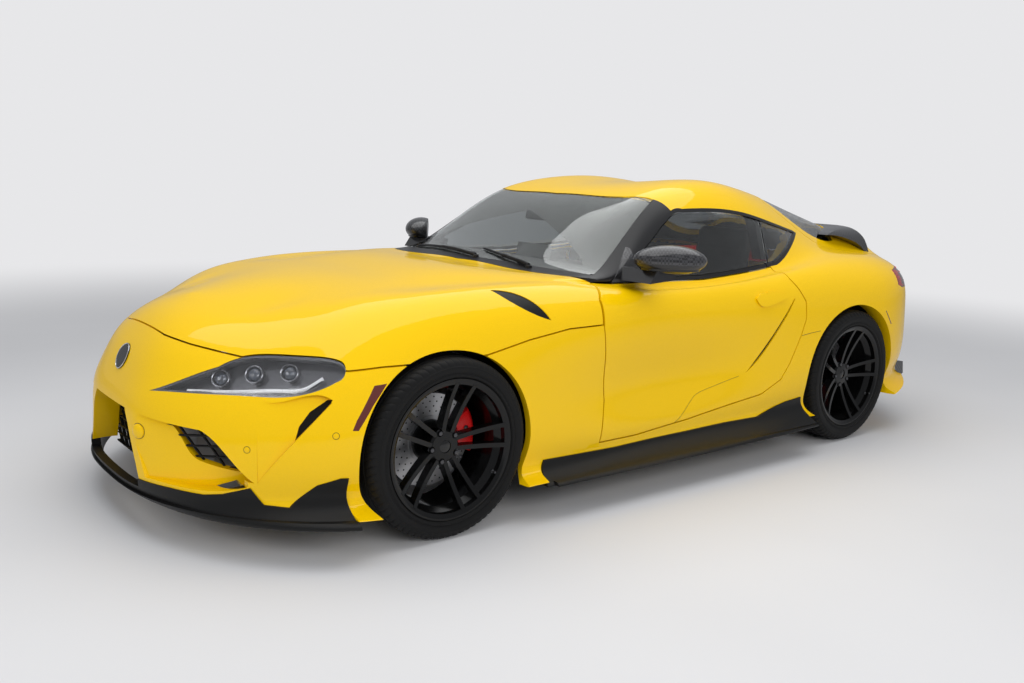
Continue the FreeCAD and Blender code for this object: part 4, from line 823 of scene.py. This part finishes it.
# How far the housing's flat back reaches from its middle in one direction
def back_reach(cosine, sine):
    near, far = 0.0, 0.2
    for _ in range(20):
        test = (near + far) / 2.0
        p = glass_way * back_depth + glass_side * (test * cosine - glass_shift)
        p.z += test * sine
        x = p.x * math.cos(pod_turn) + p.y * math.sin(pod_turn)
        y = -p.x * math.sin(pod_turn) + p.y * math.cos(pod_turn)
        share = (x / pod_half_long) ** 2 + (y / pod_half_wide) ** 2 + (p.z / pod_half_high) ** 2
        inside = share < 1.0 and p.z > pod_floor
        near, far = (test, far) if inside else (near, test)
    return near


def mirror_face(count=64, rows=5):
    points, faces, rim = [], [], []
    base = pod_middle + glass_way * glass_depth - glass_side * glass_shift
    for k in range(count):
        a = 2.0 * math.pi * k / count
        reach = back_reach(math.cos(a), math.sin(a)) - 0.006
        way = glass_side * math.cos(a) + Vector((0, 0, math.sin(a)))
        rim.append(base + way * (reach + 0.0015) + glass_way * 0.0005)
        for j in range(rows + 1):
            share = j / rows
            points.append(base + way * reach * share + glass_way * 0.0022 * (1.0 - share * share))
    for k in range(count):
        a, b = k * (rows + 1), (k + 1) % count * (rows + 1)
        faces += [(a + j, b + j, b + j + 1, a + j + 1) for j in range(rows)]
    return (points, faces), tube(rim, 0.0022, 8, closed=True)


# The flat-bottomed lower cover, cut off along the housing's flat back
tray_half_long, tray_half_wide, tray_back = 0.1475, 0.0725, 0.0335


def mirror_tray(count=72):
    points, faces = [], []
    levels = ((-0.010, 1.000), (-0.012, 1.012), (-0.036, 1.010), (-0.042, 0.985), (-0.0435, 0.93),
              (-0.0435, 0.0))
    for height, grow in levels:
        fit = math.sqrt(1.0 - (max(height, -0.034) / pod_half_high) ** 2) * grow
        for k in range(count):
            a = 2.0 * math.pi * k / count
            x, y = tray_half_long * fit * math.cos(a), tray_half_wide * fit * math.sin(a)
            over_back = x * math.sin(glass_in_pod) + y * math.cos(glass_in_pod) - tray_back
            if over_back > 0.0:
                x -= over_back * math.sin(glass_in_pod)
                y -= over_back * math.cos(glass_in_pod)
            along = x * math.cos(pod_turn) - y * math.sin(pod_turn)
            outward = x * math.sin(pod_turn) + y * math.cos(pod_turn)
            points.append(pod_middle + Vector((along, outward, height)))
    for j in range(len(levels) - 1):
        a, b = j * count, (j + 1) * count
        faces += [(a + k, a + (k + 1) % count, b + (k + 1) % count, b + k) for k in range(count)]
    return points, faces


face, rim_line = mirror_face()
pair("mirror_tray_", [mirror_tray()], gloss_black, "door_")
pair("mirror_glass_", [face], mirror_metal, "door_")
pair("mirror_rim_", [rim_line], gloss_black, "door_")

# Weather strips. Extruded black rubber, pushed on along the foot of each door glass and
# bonded into the joint round the screen.
belt, screen_strip = [], []
belt_half, screen_strip_half, strip_lift = 0.0026, 0.0024, 0.0006
belt_height, belt_rise_from, belt_rise = 874, 1471, 27.0
door_side = shell_of("door_trim_left", "door_left", "door_window_left")
for x in range(935, 1935, 40):
    z = belt_height + belt_rise * (max(x - belt_rise_from, 0) / 400.0) ** 1.3
    at, normal = met(door_side, place_at(x, -1000, z), (0, 1, 0))
    if at is not None:
        belt.append(at + normal * strip_lift)
pair("belt_strip_", [tube(smooth_line(belt, 2), belt_half, 8)], rubber, "door_")
outer_screen = shell_of("windscreen")
for p in screen_ring(160)[1]:
    at, normal = met(outer_screen, Vector((p.x, p.y, 1.5)), (0, 0, -1))
    if at is not None:
        screen_strip.append(at - normal * strip_lift)
piece("screen_strip", [tube(screen_strip, screen_strip_half, 8, closed=True)], rubber, "body")

# Tail. Bright red acrylic light guides lie inside the lamps, a fog lamp and two reflectors
# are clipped into the lower panel, and the steel tailpipes have rolled rims.
tail_face = shell_of("tail_lamps", "rear_bumper", "rear_diffuser", "tailgate")
red_guide = ribbed_guide("red_guide", (1.0, 0.02, 0.01, 1.0), 0.15, 0.2, 140.0,
                         (0.45, 0.01, 0.008, 1), (0.75, 0.03, 0.02, 1))
polished = surface("polished_steel", (0.62, 0.62, 0.63), 0.12, spread=0.05, metallic=1.0)


def on_tail(y, z, lift):
    start = place_at(3500, y, z)
    at, normal = met(tail_face, start, (-1, 0, 0))
    if at is None:
        return None
    if normal.x < 0.0:
        normal = -normal
    return at + normal * lift


guide_heights, guide_lift, guide_half = (858, 836, 790), 0.0008, 0.0022
guides = []
for z in guide_heights:
    line = [on_tail(-y, z, guide_lift) for y in range(360, 830, 47)]
    guides.append(tube(smooth_line([p for p in line if p is not None], 4), guide_half, 8))
pair("tail_guides_", guides, red_guide, "body")


# A thin lens laid over the tail, bulging with it, from one corner to the other
panel_lift = 0.0020


def tail_panel(y0, y1, z0, z1, columns=12, rows=6):
    points, faces = [], []
    for i in range(columns + 1):
        for j in range(rows + 1):
            points.append(on_tail(y0 + (y1 - y0) * i / columns, z0 + (z1 - z0) * j / rows, panel_lift))
    for i in range(columns):
        for j in range(rows):
            a = i * (rows + 1) + j
            faces.append((a, a + rows + 1, a + rows + 2, a + 1))
    return points, faces


reflectors = [tail_panel(-690, -590, 405, 432)]
piece("rear_reflectors", reflectors + mirrored(reflectors),
      surface("reflector_red", (0.40, 0.008, 0.006), 0.10, coat=1.0), "body")
piece("rear_fog_lamp", [tail_panel(-55, 55, 300, 345)],
      surface("fog_red", (0.45, 0.010, 0.008), 0.10, coat=1.0), "body")
pipe_rims, pipe_bores = [], []
pipe_half_spacing = 0.430
for y in (-pipe_half_spacing, pipe_half_spacing):
    mouth = place_at(3452, 0, 300)
    mouth.y = y
    pipe_rims.append(turned([(0.0455, -0.030), (0.0452, -0.003), (0.0470, -0.0004), (0.0490, -0.0004),
                             (0.0503, -0.003), (0.0504, -0.030)], mouth, (1, 0, 0), 48))
    pipe_bores.append(turned([(0.0, -0.150), (0.0446, -0.150), (0.0446, -0.012)], mouth, (1, 0, 0), 48))
piece("pipe_rims", pipe_rims, polished, "body")
piece("pipe_bores", pipe_bores, surface("soot", (0.015, 0.014, 0.013), 0.9), "body")

# Running gear and underside. Cast uprights, arms and struts bolted under a coated floor
# pan, a cast alloy engine, and tailpipes of polished steel.
cast_iron = surface("cast_iron", (0.12, 0.12, 0.12), 0.6, bump=0.4)
dress(["knuckle_left", "knuckle_right", "front_suspension", "rear_suspension"], cast_iron)
dress(["underbody"], surface("floor_coating", (0.03, 0.03, 0.032), 0.7, bump=0.4))
dress(["engine"], surface("cast_alloy", (0.35, 0.35, 0.36), 0.5, metallic=0.8, bump=0.3))
dress(["exhaust"], polished)

# Dashboard. A grained moulding with a thin display on top, a hooded instrument screen,
# four air vents, a row of switches, and a gear lever in a leather boot on the console.
dash_grain = surface("dash_moulding", (0.028, 0.028, 0.03), 0.6, bump=0.5, grain_scale=1600.0)
screen_glass = surface("display_glass", (0.008, 0.009, 0.012), 0.06, coat=1.0)
leather = surface("black_leather", (0.03, 0.03, 0.03), 0.5, bump=0.6, grain_scale=900.0)
dress(["dashboard"], dash_grain)


# A box with rounded edges, set by its middle, half sizes and a lean about the Y axis
def slab(middle, half, lean, bevel=0.003):
    shape = bmesh.new()
    bmesh.ops.create_cube(shape, size=2.0)
    for vertex in shape.verts:
        vertex.co = Vector((vertex.co.x * half[0], vertex.co.y * half[1], vertex.co.z * half[2]))
    bmesh.ops.bevel(shape, geom=shape.edges[:], offset=bevel, segments=3, profile=0.5, affect="EDGES")
    matrix = Matrix.Translation(middle) @ Matrix.Rotation(lean, 4, "Y")
    points = [matrix @ vertex.co for vertex in shape.verts]
    shape.verts.index_update()
    faces = [tuple(vertex.index for vertex in polygon.verts) for polygon in shape.faces]
    shape.free()
    return points, faces


display_lean = 0.20
piece("display_case", [slab(place_at(1085, 0, 918), (0.006, 0.125, 0.042), display_lean),
                       slab(place_at(1096, 0, 872), (0.012, 0.030, 0.010), 0.0)],
      gloss_black, "body")
piece("display_face", [slab(place_at(1092, 0, 918), (0.0012, 0.117, 0.035), display_lean, 0.0008)],
      screen_glass, "body")
piece("instrument_face", [slab(place_at(1153, -370, 868), (0.0015, 0.120, 0.036), 0.12, 0.001)],
      screen_glass, "body")
vent_slats, vent_frames = [], []
slat_lean, slat_pitch, slat_count = 0.35, 9, 5
for y, half_wide in ((-560, 0.055), (-95, 0.050), (95, 0.050), (560, 0.055)):
    for k in range(slat_count):
        vent_slats.append(slab(place_at(1152, y, 785 + slat_pitch * k), (0.006, half_wide, 0.0011),
                               slat_lean, 0.0005))
    vent_frames.append(slab(place_at(1147, y, 803), (0.003, half_wide + 0.006, 0.028), 0.0, 0.002))
piece("vent_slats", vent_slats, grained_black, "body")
piece("vent_frames", vent_frames, satin_metal, "body")
switches = [slab(place_at(1149, y, 740), (0.006, 0.013, 0.008), 0.0, 0.002) for y in range(-90, 91, 30)]
switches += [slab(place_at(1141, y, 712), (0.006, 0.011, 0.011), 0.0, 0.003) for y in (-60, 60)]
piece("dash_switches", switches, satin_black, "body")
lever_foot, lever_way = place_at(1290, 0, 566), (-0.12, 0, 1)
boot = [(0.034, -0.012), (0.030, 0.004), (0.016, 0.030), (0.0085, 0.050), (0.0085, 0.062)]
knob = [(0.010, 0.060), (0.021, 0.072), (0.025, 0.090), (0.022, 0.106), (0.012, 0.114), (0.0, 0.115)]
piece("gear_lever", [turned(boot, lever_foot, lever_way, 28), turned(knob, lever_foot, lever_way, 28)],
      leather, "body")

# Steering wheel. A leather rim, thicker where the thumbs rest, on three satin spokes, with
# a plain boss, two switch pads and the column's stalks. It replaces the plain solid.
column = place_at(1330, -370, 790)
tilt = math.radians(24.0)
axle = Vector((math.cos(tilt), 0, math.sin(tilt)))
over = Vector((-math.sin(tilt), 0, math.cos(tilt)))
across = Vector((0, 1, 0))
rim_radius, rim_half, thumb_swell = 0.176, 0.0132, 0.0028
rim_steps, rim_sides = 96, 16
thumb_angle, thumb_spread = 115.0, 16.0
points, faces = [], []
for k in range(rim_steps):
    a = 2.0 * math.pi * k / rim_steps
    from_foot = abs(k / rim_steps * 360.0 - 180.0)
    thick = rim_half + thumb_swell * math.exp(-((from_foot - thumb_angle) / thumb_spread) ** 2)
    p = column + over * (math.cos(a) * rim_radius) + across * (math.sin(a) * rim_radius)
    spoke = (p - column).normalized()
    for j in range(rim_sides):
        b = 2.0 * math.pi * j / rim_sides
        points.append(p + spoke * (math.cos(b) * thick) + axle * (math.sin(b) * thick * 1.05))
for k in range(rim_steps):
    a, b = k * rim_sides, (k + 1) % rim_steps * rim_sides
    faces += [(a + j, b + j, b + (j + 1) % rim_sides, a + (j + 1) % rim_sides)
              for j in range(rim_sides)]
wheel_rim = piece("steering_rim", [(points, faces)], leather, "steering_wheel")
spokes = []
for way, wide in ((across, 0.021), (-across, 0.021), (-over, 0.028)):
    side = axle.cross(way)
    line = [column - axle * 0.012 + way * 0.040, column - axle * 0.010 + way * 0.090,
            column - axle * 0.003 + way * 0.140, column + way * 0.168]
    spokes.append(tube(smooth_line(line, 6), lambda t, w=wide: w * (1.0 - 0.35 * t), 16, flat=0.28,
                       normal=axle))
piece("steering_spokes", spokes, satin_metal, "steering_wheel")
boss = [turned([(0.018, -0.150), (0.018, -0.030), (0.046, -0.028), (0.058, -0.012), (0.060, 0.002),
                (0.052, 0.010), (0.030, 0.0145), (0.0, 0.0155)], column, axle, 48)]
for way in (across, -across):
    pad = column + way * 0.092 - axle * 0.004
    boss.append(turned([(0.016, -0.006), (0.0185, 0.002), (0.0165, 0.0065), (0.0, 0.0075)], pad, axle, 28))
piece("steering_boss", boss, dash_grain, "steering_wheel")
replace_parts(wheel_rim, "steering_wheel")
stalks = []
for way in (1.0, -1.0):
    root = column - axle * 0.075 + across * (0.030 * way)
    tip = column - axle * 0.045 + across * (0.165 * way) + over * 0.030
    stalks.append(tube(smooth_line([root, (root + tip) / 2.0 + over * 0.004, tip], 6),
                       lambda t: 0.0050 + 0.0035 * t * t, 12))
piece("column_stalks", stalks, grained_black, "body")

# Inner mirror. A silvered glass in a slim moulded housing, on a stalk that is bonded to
# the screen, with the cover of the sensors behind it.
inner = place_at(1150, 20, 1098)
inner_lean = 0.18
stalk_root = under_glass(inner.x - 0.006, 0.0, 0.004)
body_and_stalk = [slab(inner, (0.012, 0.118, 0.029), inner_lean, 0.009),
                  tube(smooth_line([inner - Vector((0.012, 0, 0)),
                                    inner + Vector((-0.022, -0.010, 0.012)), stalk_root], 6), 0.009, 12),
                  slab(under_glass(inner.x + 0.020, 0.0, 0.020), (0.050, 0.040, 0.014), -0.42, 0.008)]
piece("inner_mirror", body_and_stalk, grained_black, "body")
piece("inner_mirror_glass",
      [slab(inner + Vector((0.0125, 0, 0)), (0.0012, 0.112, 0.025), inner_lean, 0.0008)],
      mirror_metal, "body")

# Door cards. Moulded covers clipped inside the doors. Each has a padded armrest with a
# pull, a satin release lever and a grille over its loudspeaker.
armrest_places = [(x, -500, 640) for x in (1180, 1300, 1450, 1600, 1720)]
armrest_stand_off, lever_stand_off = 0.016, 0.010
door_inside = shell_of("door_left")


def on_card(place):
    at, _, _, _ = door_inside.ray_cast(place_at(*place), Vector((0, -1, 0)))
    return at


rest_line = [on_card(place) + Vector((0, armrest_stand_off, 0)) for place in armrest_places]
armrest = tube(smooth_line(rest_line, 6), lambda t: 0.030 - 0.010 * abs(2.0 * t - 1.0), 16)
pair("armrest_", [armrest], leather, "door_")
release = slab(on_card((1240, -500, 730)) + Vector((0, lever_stand_off, 0)), (0.048, 0.006, 0.010),
               0.15, 0.004)
pair("release_lever_", [release], satin_metal, "door_")
grille = turned([(0.078, -0.004), (0.078, 0.006), (0.072, 0.009), (0.068, 0.006), (0.0, 0.007)],
                on_card((1080, -500, 480)), (0, 1, 0), 40)
pair("speaker_", [grille], grained_black, "door_")

# Seats. Two bucket seats, foam pads under black leather with raised side bolsters and a
# head part. The seams hold the cover down and the padding swells between them.
seat_side = 0.370 * width_fit
seam_half = 0.150
most_swelling = 0.010
slack, held_slack = 0.0025, 0.0045
cushion_seams, back_seams = (1570, 1700), (540, 640, 740, 840)
piping_half, piping_lift = 0.0022, 0.0004


def left_seat_mesh():
    shape = bmesh.new()
    shape.from_mesh(nodes["seats"].data)
    bmesh.ops.delete(shape, geom=[v for v in shape.verts if v.co.y > 0.0], context="VERTS")
    bmesh.ops.remove_doubles(shape, verts=shape.verts, dist=0.0001)
    bmesh.ops.recalc_face_normals(shape, faces=shape.faces)
    mesh = bpy.data.meshes.new("seat_start")
    shape.to_mesh(mesh)
    shape.free()
    return mesh


def taken(obj):
    bpy.context.view_layer.update()
    depsgraph = bpy.context.evaluated_depsgraph_get()
    return bpy.data.meshes.new_from_object(obj.evaluated_get(depsgraph))


# Whether a seam or the frame below holds the cover at a point
def held(p):
    on_side_seam = abs(abs(p.y + seat_side) - seam_half) < 0.010
    on_cushion_seam = p.z < 0.42 and any(abs(p.x - place_at(x, 0, 0).x) < 0.008 for x in cushion_seams)
    on_back_seam = any(abs(p.z - place_at(0, 0, z).z) < 0.008 for z in back_seams)
    on_cross_seam = abs(p.y + seat_side) < seam_half and (on_cushion_seam or on_back_seam)
    return on_side_seam or on_cross_seam or p.z < 0.26


def padded_mesh():
    obj = bpy.data.objects.new("seat_start", left_seat_mesh())
    bpy.context.collection.objects.link(obj)
    remesh = obj.modifiers.new("remesh", "REMESH")
    remesh.mode = "VOXEL"
    remesh.voxel_size = 0.014
    obj.data = taken(obj)
    obj.modifiers.clear()
    relax = obj.modifiers.new("relax", "SMOOTH")
    relax.iterations = 3
    obj.data = taken(obj)
    obj.modifiers.clear()
    for vertex in obj.data.vertices:
        pulled = slack + (held_slack if held(vertex.co) else 0.0)
        vertex.co = vertex.co - vertex.normal * pulled
    start = [vertex.co.copy() for vertex in obj.data.vertices]
    group = obj.vertex_groups.new(name="seams")
    for k, p in enumerate(start):
        if held(p):
            group.add([k], 1.0, "REPLACE")
    cloth = obj.modifiers.new("cloth", "CLOTH")
    cloth.settings.use_pressure = True
    cloth.settings.uniform_pressure_force = 4.0
    cloth.settings.effector_weights.gravity = 0.0
    cloth.settings.vertex_group_mass = "seams"
    cloth.collision_settings.use_collision = False
    cloth.collision_settings.use_self_collision = False
    for count in range(1, 21):
        bpy.context.scene.frame_set(count)
    swollen = taken(obj)
    bpy.context.scene.frame_set(1)
    for vertex, p in zip(swollen.vertices, start):
        shift = vertex.co - p
        if shift.length > most_swelling:
            shift = shift.normalized() * most_swelling
        vertex.co = p + shift
    obj.modifiers.clear()
    obj.data = swollen
    smooth = obj.modifiers.new("smooth", "SUBSURF")
    smooth.levels = smooth.render_levels = 1
    obj.data = taken(obj)
    mesh = obj.data
    bpy.data.objects.remove(obj)
    return mesh


cover = padded_mesh()
cover_points = [v.co.copy() for v in cover.vertices]
cover_faces = [tuple(polygon.vertices) for polygon in cover.polygons]
cover_shell = BVHTree.FromPolygons(cover_points, cover_faces)
piping = []
for side in (-seam_half, seam_half):
    line = []
    for x in range(1490, 1841, 25):
        above_seat = place_at(x, 0, 700) + Vector((0, side - seat_side, 0))
        at, _, _, _ = cover_shell.ray_cast(above_seat, Vector((0, 0, -1)))
        if at is not None:
            line.append(at + Vector((0, 0, piping_lift)))
    for z in range(440, 881, 25):
        before_back = place_at(1500, 0, z) + Vector((0, side - seat_side, 0))
        at, _, _, _ = cover_shell.ray_cast(before_back, Vector((1, 0, 0)))
        if at is not None:
            line.append(at - Vector((piping_lift, 0, 0)))
    piping.append(tube(smooth_line(line, 3), piping_half, 8))
stitch_grey = surface("stitch_grey", (0.16, 0.16, 0.165), 0.7, grain_scale=900.0)
for side_name, copy in (("left", list), ("right", mirrored)):
    seat = piece("seat_" + side_name, copy([(cover_points, cover_faces)]), leather, "body",
                 angle=180.0)
    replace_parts(seat, "seats")
    piece("seat_piping_" + side_name, copy(piping), stitch_grey, "body")
